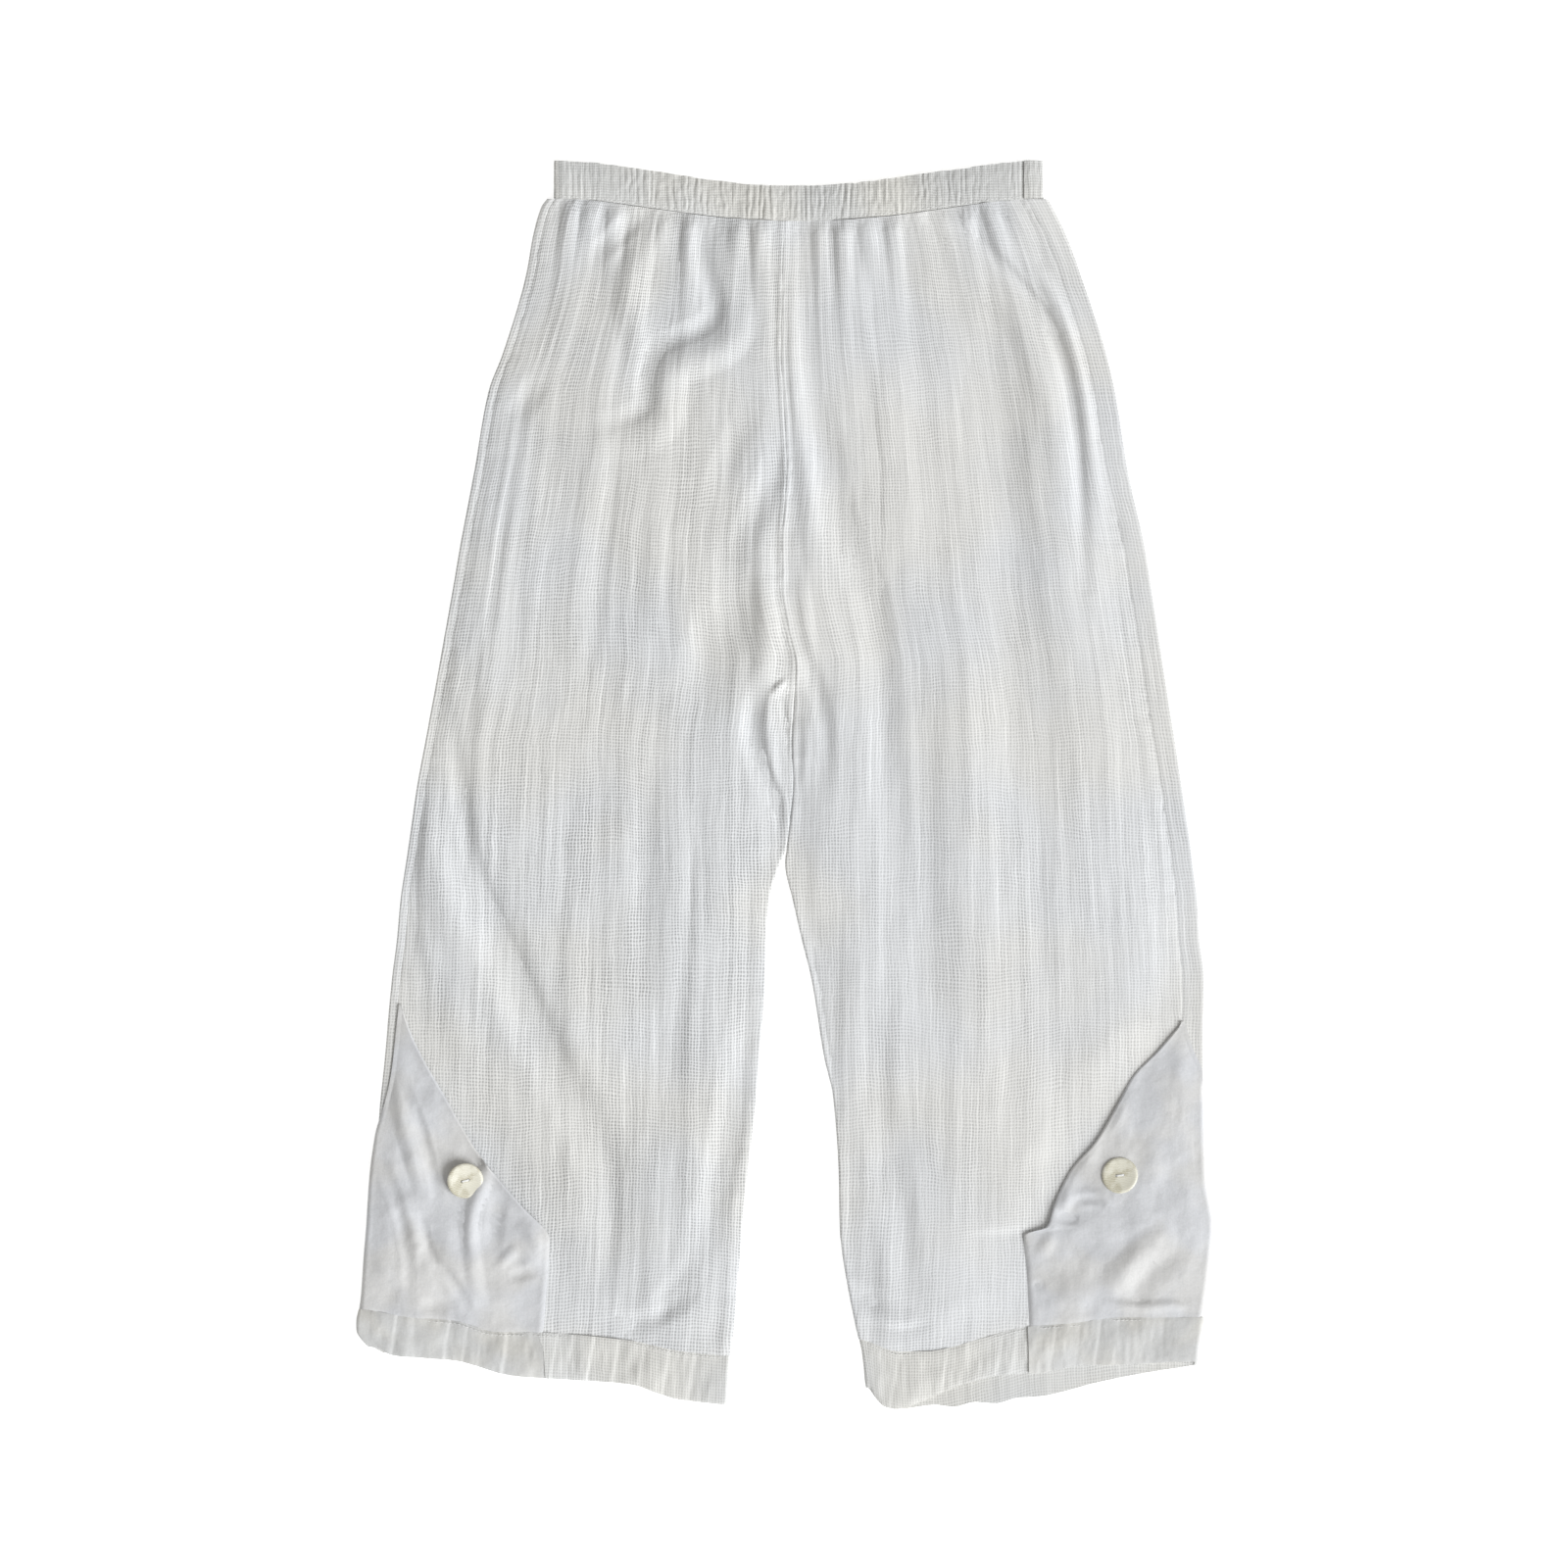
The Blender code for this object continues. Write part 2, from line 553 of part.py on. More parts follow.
def sheet(name, rows, thick, faces_up, finish, collection):
    """An open sheet through rows of points, its outer face where they lie, thickened inwards."""
    mesh = bmesh.new()
    grid = [[mesh.verts.new(point * MM) for point in row] for row in rows]
    for upper, lower in zip(grid, grid[1:]):
        for a, b, c, d in zip(upper, upper[1:], lower[1:], lower):
            mesh.faces.new((a, b, c, d))
    mesh.normal_update()
    if (sum(face.normal.z * face.calc_area() for face in mesh.faces) > 0) != faces_up:
        bmesh.ops.reverse_faces(mesh, faces=mesh.faces)
    data = bpy.data.meshes.new(name)
    mesh.to_mesh(data)
    mesh.free()
    data.shade_smooth()
    obj = add_object(name, data, finish, collection)
    wall = obj.modifiers.new("Wall", "SOLIDIFY")
    wall.thickness = thick * MM
    wall.offset = -1
    wall.use_even_offset = True
    return obj


def applied(obj):
    """The object with its modifiers made part of its mesh."""
    graph = bpy.context.evaluated_depsgraph_get()
    mesh = bpy.data.meshes.new_from_object(obj.evaluated_get(graph))
    obj.modifiers.clear()
    obj.data = mesh
    return obj


def seat(leg, place):
    """How high a leaning button lies so that it just clears the smooth cloth all over its underside."""
    around = np.linspace(0, 2 * math.pi, BUTTON_SIDES, endpoint=False)[:, None]
    radius = BUTTON_FOOT * BUTTON_RADIUS * np.array([0, 0.5, 1])
    dx, dy = radius * np.cos(around), radius * np.sin(around)
    x, y = place.x + dx, place.y + dy
    line = math.radians(place.line)
    rise = math.tan(math.radians(place.lean)) * (dy * math.cos(line) - dx * math.sin(line))
    free = curve(y, [(row.inner_y, row.inner_x) for row in FLAPS[leg]])
    flare = curve(y, [(row.inner_y, row.flare) for row in FLAPS[leg]])
    return (flap_top(leg, x, y, free, flare) - rise).max() + SEAM


def button_mesh(finish, cutters):
    """A dished disc, turned, with two holes for the thread."""
    mesh = bmesh.new()
    points = [
        mesh.verts.new((out * BUTTON_RADIUS * MM, 0, up * BUTTON_THICK * MM)) for out, up in BUTTON_PROFILE
    ]
    for a, b in zip(points, points[1:]):
        mesh.edges.new((a, b))
    data = bpy.data.meshes.new("button_profile")
    mesh.to_mesh(data)
    mesh.free()
    disc = add_object("button_disc", data, finish, cutters)
    turn = disc.modifiers.new("Turn", "SCREW")
    turn.steps = turn.render_steps = BUTTON_SIDES
    turn.use_merge_vertices = True
    turn.merge_threshold = 1e-5
    turn.use_normal_calculate = True
    for place in (-1, 1):
        bpy.ops.mesh.primitive_cylinder_add(
            vertices=HOLE_SIDES,
            radius=BUTTON_HOLE_RADIUS * MM,
            depth=3 * BUTTON_THICK * MM,
            location=(place * BUTTON_HOLE_OFFSET * MM, 0, 0),
        )
        hole = bpy.context.object
        hole.name = f"button_hole_{place}"
        hole.display_type = "WIRE"
        hole.users_collection[0].objects.unlink(hole)
        cutters.objects.link(hole)
        cut = disc.modifiers.new("Hole", "BOOLEAN")
        cut.operation = "DIFFERENCE"
        cut.object = hole
    bpy.context.view_layer.update()
    made = applied(disc).data
    for helper in list(cutters.objects):
        bpy.data.objects.remove(helper)
    return made


def main():
    for obj in list(bpy.data.objects):
        bpy.data.objects.remove(obj)
    scene = bpy.context.scene
    parts = bpy.data.collections.new("gaucho_pants")
    cutters = bpy.data.collections.new("cutters")
    for collection in (parts, cutters):
        scene.collection.children.link(collection)

    gauze = material("white_gauze", (0.80, 0.80, 0.79), 0.9)
    plain = material("white_plain_weave", (0.85, 0.85, 0.85), 0.7)
    pearl = material("mother_of_pearl", (0.80, 0.77, 0.64), 0.25)

    for leg in ("right", "left"):
        sheet(f"front_{leg}", front_rows(leg), GAUZE, True, gauze, parts)
        sheet(f"back_{leg}", back_rows(leg), GAUZE, False, gauze, parts)
        sheet(f"front_hem_{leg}", front_hem_rows(leg), HEM, True, gauze, parts)
        sheet(f"back_hem_{leg}", back_hem_rows(leg), HEM, False, gauze, parts)
        sheet(f"side_hem_{leg}", side_hem_rows(leg), HEM, True, plain, parts)
        sheet(f"side_panel_{leg}", flap_rows(leg), PLAIN, True, plain, parts)
    sheet("waistband_back", band_back_rows(), CASING, False, gauze, parts)
    gather_band(applied(sheet("waistband_front", band_front_rows(), CASING, True, gauze, parts)))

    disc = button_mesh(pearl, cutters)
    for leg, place in BUTTONS.items():
        button = bpy.data.objects.new(f"button_{leg}", disc)
        button.location = (place.x * MM, place.y * MM, seat(leg, place) * MM)
        line = math.radians(place.line)
        button.rotation_mode = "AXIS_ANGLE"
        button.rotation_axis_angle = (math.radians(place.lean), math.cos(line), math.sin(line), 0)
        parts.objects.link(button)


main()
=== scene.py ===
"""Looks for white pull-on gaucho trousers in open gauze weave, laid flat on their back.

The tables and functions below are in millimetres, like those of the solids, and the meshes in metres.
+X is the wearer's left, +Y runs from the hems up to the waist, and +Z is up from the floor.
"""

import math
from collections import namedtuple

import bmesh
import bpy
import numpy as np
from mathutils import Matrix, Vector


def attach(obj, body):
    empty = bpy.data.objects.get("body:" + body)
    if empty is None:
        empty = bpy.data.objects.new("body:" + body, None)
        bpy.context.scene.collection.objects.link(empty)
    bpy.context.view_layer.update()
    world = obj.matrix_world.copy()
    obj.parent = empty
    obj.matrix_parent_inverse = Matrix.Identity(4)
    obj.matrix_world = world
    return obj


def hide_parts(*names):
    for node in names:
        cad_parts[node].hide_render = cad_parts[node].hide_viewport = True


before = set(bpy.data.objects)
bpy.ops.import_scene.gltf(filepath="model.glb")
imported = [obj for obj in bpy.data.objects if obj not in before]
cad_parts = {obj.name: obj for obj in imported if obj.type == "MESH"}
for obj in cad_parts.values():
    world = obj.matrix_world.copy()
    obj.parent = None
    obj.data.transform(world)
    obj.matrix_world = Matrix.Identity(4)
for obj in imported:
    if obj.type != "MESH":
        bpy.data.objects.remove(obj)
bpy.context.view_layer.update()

MM = 0.001


def named(kind, *values):
    """A table, as one named row for each set of values."""
    return tuple(kind(*row) for row in values)


# ---- The garment's form, as in the solids ----

GAUZE = 1.2
PLAIN = 1.0
CASING = 2.4
HEM = 1.8
SEAM = 0.02
AIR = 1.0
OVERLAY = 0.5
LEG_GAP = 0.02

WAIST_SIDE = 417.5
WAIST_TOP = 445.6
CROTCH = 77.0
HEM_LINE = -385.0
FLAP_TOP = -160.0

BAND_RIGHT = -165.2
BAND_LEFT = 184.8
BAND_SAG = 16.0
BAND_TOP_SAG = 18.2
BAND_LIP_RIGHT = 3.0
BAND_LIP_LEFT = 14.0
BAND_GATHERS = 72
BAND_CROWN = 0.7
CROWN_RUN = 9.0

PUFF = 2.6
LEAST_LIFT = -1.6
EDGE_FADE = 8.0
PUFF_FADE = 34.0
FOLD_DEPTH = 1.7
FOLD_ENDS = 0.15
WAIST_RAMP = 75.0
HEM_RAMP = 115.0
MEET_RUN = 14.0
TUCK = 0.5
CENTRE_RIDGE = 0.7
CENTRE_RUN = 5.0
CROTCH_TURN = 18.0
CROTCH_RISE = 0.8

GATHER_SIZE = 1.15
GATHER_WIDTH = 7.0
GATHER_START = (-3, 12)

PLEAT_HEIGHT = {"right": 0.75, "left": 0.4}
PLEAT_RUN = 18.0
PLEAT_DROP = 3.2
PLEAT_RUNS = (1.0, 1.4, 0.8, 1.2, 1.6)
PLEAT_SIZES = (1.2, 0.6, 1.4, 0.9, 0.5, 1.1, 0.7)
PLEAT_EDGES = (3, 11)
FRONT_PLEAT_SLANT = 0.16
SIDE_PLEAT_SLANT = 0.14
HEM_ROLL = 1.6
HEM_ROLLED = 0.3
HEM_SETTLE = 1.1
HEM_SETTLE_RUN = 14.0
# Share of the hem line where the smooth hem strip ends and the gauze one begins
SPLIT = 0.47

FLAP_PUFF = 1.6
LEAST_CREASE = -0.8
FLAP_TURN = 0.3
CREASES_FROM = 2.0
CREASES_FULL = 18.0
FLAP_BLEND = 5.0
# The free edge rolls under and stands up, and is rolled deeper and wider where it is sewn down
ROLLED = 0.95
EDGE_ROLL = 1.8
SEWN_BELOW = -326.0
SEWN_RUN = (-4, 6)
SEWN_ROLLED = 0.5
SEWN_ROLL = 2.0
FLARE = 2.6
FLARE_RUN = 11.0
FLAT_FROM = 46.0
FLAT_TO = 1.0
# Below the first level the gauze is drawn in under the smooth cloth, and is fully so at the second
DRAW_IN_FROM = -222.0
DRAW_IN_TO = -250.0
ROW_CROWDING = 1.3

# The outline of the flat garment: for each level, the two outer edges and the two inner edges.
# Above the crotch both inner edges are the centre seam, and below it the inseams.
Level = namedtuple("Level", "y right_side right_inner left_inner left_side")
OUTLINE = named(
    Level,
    (420, -168, -0.7, -0.7, 187), (412, -174, -0.7, -0.7, 191), (392, -180, -1, -1, 201),
    (364, -185, -2, -2, 211.5), (308, -201.5, -3, -3, 229.5), (280, -212, -1.5, -1.5, 236),
    (224, -222, 1, 1, 245), (168, -232.5, -2.5, -2.5, 257.5), (140, -237.3, -2.5, -2.5, 261.9),
    (112, -242.2, 2, 2, 266.2), (84, -247, 7.5, 7.5, 270.5), (56, -252.2, 6.5, 6.5, 274.8),
    (28, -257.3, 5, 5, 279.2), (0, -262.5, 6, 6, 283.5), (-28, -266.7, 3.5, 3.5, 287.6),
    (-44, -269, 1.5, 1.5, 290), (-57, -271, -3.5, 0, 291.5), (-84, -275, -11.2, 5.6, 295),
    (-112, -277.5, -13.6, 12, 296.5), (-140, -281, -14, 18.9, 299.5), (-196, -286, -18.2, 28, 298.5),
    (-224, -289, -20.3, 34.3, 299), (-280, -297, -26.5, 38.3, 300.5), (-318, -299.5, -30.5, 39, 305.5),
    (-336, -301, -31.7, 40.8, 304), (-364, -303, -34.4, 45.5, 301), (-391, -306.3, -36.4, 51, 297),
    (-406, -296.5, -38.5, 54.6, 295), (-447, -290, -42, 59, 292),
)

# The stitched line at the top of each hem and the edges of the hems, as X, Y along the leg
HEM_SEAMS = {
    "right": ((-306, -374), (-271, -380.5), (-235, -383.5), (-206, -391.5), (-175, -392), (-111, -397.5),
        (-72, -405), (-38, -408.5)),
    "left": ((50, -397), (76, -405.5), (94, -405.5), (139, -396), (170, -388), (206, -385), (240, -381),
        (285, -381), (297, -384)),
}
FRONT_EDGES = {
    "right": ((-306, -391), (-299, -402), (-290, -408.5), (-244, -412), (-200, -423), (-155, -426),
        (-111, -429), (-72, -440), (-38, -443.5)),
    "left": ((51, -432), (54, -439), (60, -445), (69, -447), (96, -439), (120, -430), (149, -423),
        (192, -419.5), (210, -415.5), (240, -415), (295, -412)),
}
BACK_EDGES = {
    "right": ((-306, -390), (-299, -401), (-290, -407), (-244, -410), (-200, -421), (-155, -424),
        (-111, -427), (-72, -438), (-38, -441.5)),
    "left": ((51, -432), (54, -439), (60, -445), (69, -447), (97, -444), (110, -445.5), (125, -442),
        (140, -443), (156, -439), (172, -438), (195, -433), (209, -429), (251, -420.5), (279, -416),
        (295, -412)),
}

# Folds of cloth, ridges above 0 and troughs below: half width, height and the points of the path
Fold = namedtuple("Fold", "half_width height path")


def folds(*values):
    return tuple(Fold(half_width, height, path) for half_width, height, *path in values)


# The large folds, which the solids have too
FOLDS = {
    "right": folds(
        (10, -1.3, (-48, 406), (-62, 381), (-55, 358), (-48, 342), (-54, 328), (-76, 319), (-95, 311),
         (-101, 288), (-98, 270), (-113, 261), (-136, 255)),
        (16, 1.9, (-32, 396), (-44, 374), (-38, 350), (-33, 330), (-40, 313), (-62, 303), (-80, 296),
         (-85, 280), (-83, 262), (-98, 248), (-124, 240)),
        (15, 2.6, (-92, 399), (-104, 380), (-113, 348), (-104, 307)),
        (10, -1.6, (-106, 404), (-134, 378)),
        (12, -1.4, (-176, 291), (-192, 259)),
        (14, -1.6, (-3, 235), (-32, 168)),
        (26, -2.2, (-34, 157), (-38, 126), (-55, 86), (-59, 44)),
        (10, -2.5, (-16, 75), (-25, 44), (-22, 20), (-10, -12)),
        (22, -2.4, (-250, 44), (-230, -62), (-199, -120), (-179, -182), (-138, -243), (-122, -300),
         (-138, -376)),
        (20, 1.4, (-275, 20), (-255, -62), (-224, -120), (-204, -170), (-165, -232)),
        (14, -1.2, (-100, 3), (-100, -151)),
        (16, -2, (-27, -171), (-39, -243), (-52, -305), (-66, -345)),
        (12, -1, (-64, -336), (-80, -364), (-100, -386)),
    ),
    "left": folds(
        (8, -2.4, (104, 402), (141, 385), (170, 352), (191, 325), (203, 285), (209, 240), (211, 190),
         (216, 140)),
        (13, 0.9, (94, 390), (130, 370), (158, 341), (177, 308), (189, 268), (195, 220), (199, 165)),
        (17, -2, (14, 392), (14, 322), (31, 213), (49, 159), (65, 125), (72, 37), (80, -86)),
        (9, -1.3, (12, 104), (24, 64), (31, 34), (28, -8)),
        (34, 1.3, (110, 150), (132, 20), (140, -120), (128, -260)),
        (26, -1, (150, 330), (160, 180), (172, 40)),
        (18, -1.6, (60, -150), (72, -260), (88, -370)),
    ),
}
# Folds too fine for the solids, of the gauze and of the smooth cloth
FINE_FOLDS = {
    "right": folds(
        (9, -2, (-243, 70), (-232, -11), (-221, -65), (-203, -105), (-178, -159), (-150, -215)),
        (8, -1.4, (-262, -50), (-267, -100), (-257, -160)),
        (13, -1.3, (-21, 274), (-49, 216), (-61, 168)),
        (13, 3.2, (-17, 178), (-15, 142), (-11, 112), (-15, 80), (-19, 46)),
        (6, -2.6, (-20, 20), (-12, 5), (-6, -12), (-3, -34)),
        (6, 2.2, (-8, 70), (-12, 44), (-9, 16), (-6, -6)),
        (4, 3, (-9, 63), (-4, 69), (1, 74)),
        (4, -3, (-3, 60), (1, 44), (3, 14)),
        (6, -0.9, (-208, 300), (-222, 210), (-236, 120)),
        (6, 0.8, (-196, 290), (-212, 205), (-226, 110)),
        (6, -0.8, (-186, 270), (-203, 180), (-212, 90)),
        (8, 0.8, (-172, 225), (-182, 130), (-188, 60)),
        (10, -0.9, (-120, 250), (-126, 170), (-138, 80)),
        (12, 0.9, (-88, 240), (-96, 150), (-104, 60)),
        (12, 1, (-150, -60), (-152, -140), (-146, -220)),
        (9, -0.8, (-66, -20), (-70, -120), (-82, -220)),
        (10, -1.4, (-126, -262), (-122, -310), (-130, -372)),
        (9, -1.6, (-60, -352), (-74, -372), (-96, -384), (-128, -386)),
    ),
    "left": folds(
        (11, 1.8, (4, 388), (5, 322), (12, 240), (20, 170), (34, 100)),
        (7, 1.4, (12, 150), (16, 112), (20, 84)),
        (5, 1, (14, 52), (16, 28), (13, -6)),
        (9, 2.4, (150, 398), (180, 370), (202, 335), (215, 290), (221, 235), (226, 170)),
        (6, -0.9, (226, 300), (236, 240), (244, 180)),
        (8, 0.9, (50, 380), (56, 330), (60, 290)),
        (8, -0.9, (250, 60), (262, -40), (270, -140)),
        (7, -1.8, (116, 404), (140, 389), (168, 356), (190, 325), (203, 290)),
        (8, 1.4, (128, 408), (154, 392), (182, 360), (202, 330), (213, 296)),
        (10, -2, (47, -362), (70, -370), (92, -380)),
        (6, -1.3, (56, -384), (80, -392), (104, -386)),
    ),
}
FLAP_CREASES = {
    "right": folds(
        (8, 2.4, (-284, -208), (-272, -245), (-263, -278), (-257, -294)),
        (6, -1.8, (-273, -214), (-259, -246), (-251, -280), (-247, -298)),
        (7, 6, (-207, -264), (-213, -275)),
        (8, 3, (-209, -264), (-216, -287), (-223, -304), (-225, -323), (-222, -345), (-219, -368)),
        (9, -1.8, (-203, -290), (-207, -312), (-209, -338)),
        (6, -1.8, (-197, -352), (-175, -347)),
        (9, 2.4, (-190, -312), (-178, -322), (-172, -332)),
        (6, -1.8, (-261, -305), (-255, -336), (-234, -358), (-224, -383)),
        (6, 1.4, (-205, -345), (-190, -330)),
        (7, -1.7, (-292, -262), (-276, -300), (-268, -334), (-268, -366)),
        (7, -1.2, (-260, -368), (-240, -378)),
        (10, 1.6, (-245, -315), (-232, -345), (-215, -372)),
    ),
    "left": folds(
        (5, -1.8, (208, -297), (222, -296), (229, -302)),
        (7, 1.8, (206, -290), (196, -306)),
        (6, -2.2, (194, -309), (210, -311)),
        (15, -1.5, (290, -318), (268, -341), (246, -362)),
        (14, 1, (272, -322), (250, -342), (228, -362)),
        (5, -0.5, (281, -224), (278, -242)),
        (6, 2.6, (226, -370), (254, -375), (279, -372), (294, -376)),
        (4, -1, (293, -252), (296, -281)),
        (4, -1.2, (176, -358), (186, -358)),
        (7, 1.2, (192, -322), (180, -338)),
    ),
}

# Soft gathers just below the waistband: where each starts, how far it leans, its reach and height
Gather = namedtuple("Gather", "x lean reach height")
GATHERS = named(
    Gather,
    (-152, -6, 44, 1.5), (-137, -5, 30, 1.1), (-120, -4, 55, 1.6), (-84, -3, 38, 1.4), (-68, -1, 62, 1.7),
    (-33, 0, 34, 1.2), (-18, 1, 50, 1.5), (24, 2, 42, 1.3), (40, 3, 60, 1.6), (58, 4, 36, 1.2),
    (76, 5, 48, 1.5), (112, 8, 34, 1.2), (128, 9, 56, 1.5), (145, 11, 40, 1.4), (160, 12, 30, 1.1),
)

# Where the gauze hems are laid over in small stepped pleats, as X
PLEATS = (-164, -152, -138, -120, -101, -84, -66, 80, 100, 115, 129, 142, 154, 165)
SIDE_PLEATS = (-279, -267, -241, -228, -217, -200, 184, 192, 210, 224, 237, 262, 286)

# The smooth cloth at each outer hem, a row for each level: how far its outer end lies inside the
# outline, the free or sewn inner end, whether the outer end turns down round the folded edge of the
# leg, and how far the inner end stands up.
Strip = namedtuple("Strip", "inset outer_y inner_x inner_y curl flare")
FLAPS = {
    "right": named(
        Strip,
        (7, -158, -273, -162, 0, 0.3), (6.5, -180, -265, -183, 0, 0.6), (6, -204, -254, -204, 0, 0.8),
        (4, -226, -243.5, -222, 0, 0.8), (0, -252, -221.5, -260, 1, 1.2), (0, -278, -203, -284, 1, 1.6),
        (0, -300, -186.5, -303, 1, 1.8), (0, -322, -168, -326, 1, 0.8), (0, -346, -169.5, -352, 1, 0.1),
        (0, -374, -172.5, -391, 1, 0),
    ),
    "left": named(
        Strip,
        (14, -170, 282.5, -172, 0, 0.5), (7, -190, 266, -191, 0, 0.2), (0, -209, 248.5, -209, 0, 0),
        (0, -228, 238, -228, 1, 0.4), (0, -252, 221.5, -256, 1, 0.5), (0, -276, 204, -276, 1, 0.1),
        (0, -296, 192.5, -300, 1, 0.6), (0, -314, 187, -316, 1, 1), (0, -326, 170.5, -323, 1, 0.3),
        (0, -350, 173, -350, 1, 0.1), (0, -383, 174.5, -387, 1, 0),
    ),
}
FLAP_FOLDS = {
    "right": folds(
        (13, 1.6, (-276, -212), (-263, -243), (-259, -274), (-248, -294)),
        (12, 1.5, (-285, -268), (-272, -305), (-265, -336), (-267, -366)),
        (12, 1.8, (-250, -318), (-240, -350), (-224, -380)),
    ),
    "left": folds(
        (10, 1.4, (205, -294), (232, -299)),
        (15, 1.8, (280, -318), (255, -334), (226, -368)),
    ),
}

BUTTON_RADIUS = 13.0
BUTTON_THICK = 2.4
BUTTON_HOLE_RADIUS = 1.0
BUTTON_HOLE_OFFSET = 2.4
BUTTON_DISH = 0.62
BUTTON_FOOT = 0.85
BUTTON_GAP = 0.3
# From the middle over the dish, the rim and the foot, as shares of the radius and the thickness
BUTTON_PROFILE = (
    (0, BUTTON_DISH), (0.4, 0.64), (0.72, 0.86), (0.88, 1), (0.97, 0.8),
    (1, 0.5), (0.95, 0.18), (BUTTON_FOOT, 0), (0, 0),
)
# Each button leans about a line that lies at an angle to X, and is turned on its own axis
Button = namedtuple("Button", "x y lean line spin")
BUTTONS = {"right": Button(-228.2, -283.0, 14.0, 32.0, 14.0), "left": Button(239.0, -279.7, -2.0, 40.0, 6.0)}

INWARD = {"right": 1.0, "left": -1.0}
SIDE_LIP = {"right": 6.0, "left": 15.5}

# ---- The finer form, which only the looks have ----

# Walls of single cloth
GAUZE_SHELL = 0.7
PLAIN_SHELL = 0.6

# Mesh fineness
FRONT_COLUMNS, FRONT_ROWS = 150, 500
BACK_COLUMNS, BACK_ROWS = 60, 240
LIP_COLUMNS = 6
HEM_STEP, HEM_ROWS = 0.8, 18
FLAP_COLUMNS, FLAP_ROWS = 130, 170
BAND_STEP, BACK_BAND_STEP, BAND_ROWS = 0.55, 1.2, 24
RIGHT_STUB_COLUMNS, LEFT_STUB_COLUMNS = 2, 13
# The inner side of a wall has one point for this many outer ones
INNER_SPARING = 5
TURN_STEPS, FOLD_STEPS = 6, 12
BUTTON_SIDES, HOLE_SIDES, SEAT_SIDES = 64, 20, 24
# Columns and rows that crowd towards a seam, as shares of the width
SEAM_STEPS = (0.0, 0.003, 0.007, 0.012)

# A seam draws its edges down into a groove, and puckers the cloth beside it
GROOVE = 0.35
GROOVE_RUN = 2.0
HEM_GROOVE = 0.6
PUCKER = 0.35
PUCKER_RUN = 9.0
PUCKER_LENGTH = 6.0

# Uneven swells and creases: across and along the leg, and height
Ripple = namedtuple("Ripple", "wide long height")
RIPPLES = named(Ripple, (52, 260, 1.7), (24, 190, 0.9), (12, 110, 0.5), (7, 75, 0.2), (13, 16, 0.12))
CRINKLES = named(Ripple, (11, 170, 0.4), (6, 110, 0.2), (4, 70, 0.07))
CRINKLE_WAVER = named(Ripple, (60, 90, 0.2))
PLAIN_RIPPLES = named(Ripple, (26, 34, 1.3), (12, 15, 0.75), (5, 7, 0.2))
HEM_RIPPLES = named(Ripple, (8, 12, 0.45), (3, 8, 0.22), (24, 19, 1.1))
BACK_HEM_RIPPLES = named(Ripple, (6, 30, 0.3))
RIB_WANDER = named(Ripple, (11, 24, 0.42), (4, 9, 0.3))
RIB_SIZES = named(Ripple, (9, 40, 0.6))
RIB_FRAY = named(Ripple, (1.6, 14, 0.34), (2.2, 2.6, 0.26))
BAND_TOP_WAVES = named(Ripple, (4.2, 1, 0.3), (26, 1, 0.7))
THREAD_DRIFT = named(Ripple, (75, 150, 3.0), (26, 48, 1.1))
THREAD_SWAY = named(Ripple, (70, 90, 5.0), (24, 30, 1.2))
SEEDS = {
    "front_right": 100, "front_left": 200, "back_right": 300, "back_left": 400, "side_right": 500,
    "side_left": 520, "rib_wander": 31, "rib_size": 33, "rib_fray": 34, "band_top": 36,
    "front_hem": 51, "side_hem": 61, "back_hem": 71, "drift": 81, "sway": 83,
}
LATTICE = 97
RIM_ANGLE = 62
BUTTON_RIM_ANGLE = 50

# The crinkle is even on the right leg, and on the left one faint along a line near its middle
CRINKLE_SUNK = 0.2
CRINKLES_FULL = 5.0
FAINT_MIDDLE, FAINT_RUN, FAINT_TO_FULL = 0.55, (0.15, 0.42), (0.15, 0.8)
# Share of the fine relief that is left under the smooth cloth, and on the turned inner edge
PRESSED_FLAT = 0.08
TURN_SHARE = 0.9
# Creases of the backs, pressed against the floor, and crinkle where they turn over onto the front
BACK_PRESSED, BACK_CREASES, BACK_MOST, BACK_FOLDS = 0.25, 0.4, 0.6, 0.25
BACK_CRINKLE = 0.8
PLAIN_LEAST, PLAIN_SIDE_RUN, PLAIN_EDGE_RUN = -0.4, (2, 20), (0, 8)
# The tip of the side panel turns over no more than a share of its width, and its flat end sinks
TIP_SHARE = 0.8
TIP_SUNK = 0.4

# The threads of a leg fan out over the hip, hang straight below it and are pulled at the crotch
LEG_WIDTH = 262.0
THREADS_HANG = 30.0
THREADS_LEAN = 0.2
CROTCH_PULL = 14.0
CROTCH_PULL_RUN = 60.0

# The ribs of the gathered waistband, which run on into the gauze below it
RIB_HEIGHT = 1.0
RIB_SIZE = 0.55
RIB_ROUND = 0.7
RIB_SUNK = 0.35
RIB_START = (-2, 4)
RIB_REACH = 11.0
RIBS_BELOW = 0.8
RIGHT_RIBS, RIGHT_RIB_RUN = 0.5, 90.0
LEFT_RIBS, LEFT_RIBS_FROM = 0.55, 30.0
RIB_END_RUN = 5.0
BAND_END_GROOVE = 3.0
BAND_TOP_DROP = 0.6
CROWN_GROOVE = 0.1
BACK_RIBS = 0.5
BACK_RIB_SUNK, BACK_RIB_MOST = 0.3, 0.7
# How far the end of the back waistband stands up beside the front one
STUB = 0.9
STUB_ROUND = 0.8
# The casing is gathered, so its flat cloth is this much longer
GATHERED = 1.5

# Threads of the gauze and of the smooth cloth, from one to the next
WARP = 2.25
WEFT = 2.35
PLAIN_THREAD = 0.42

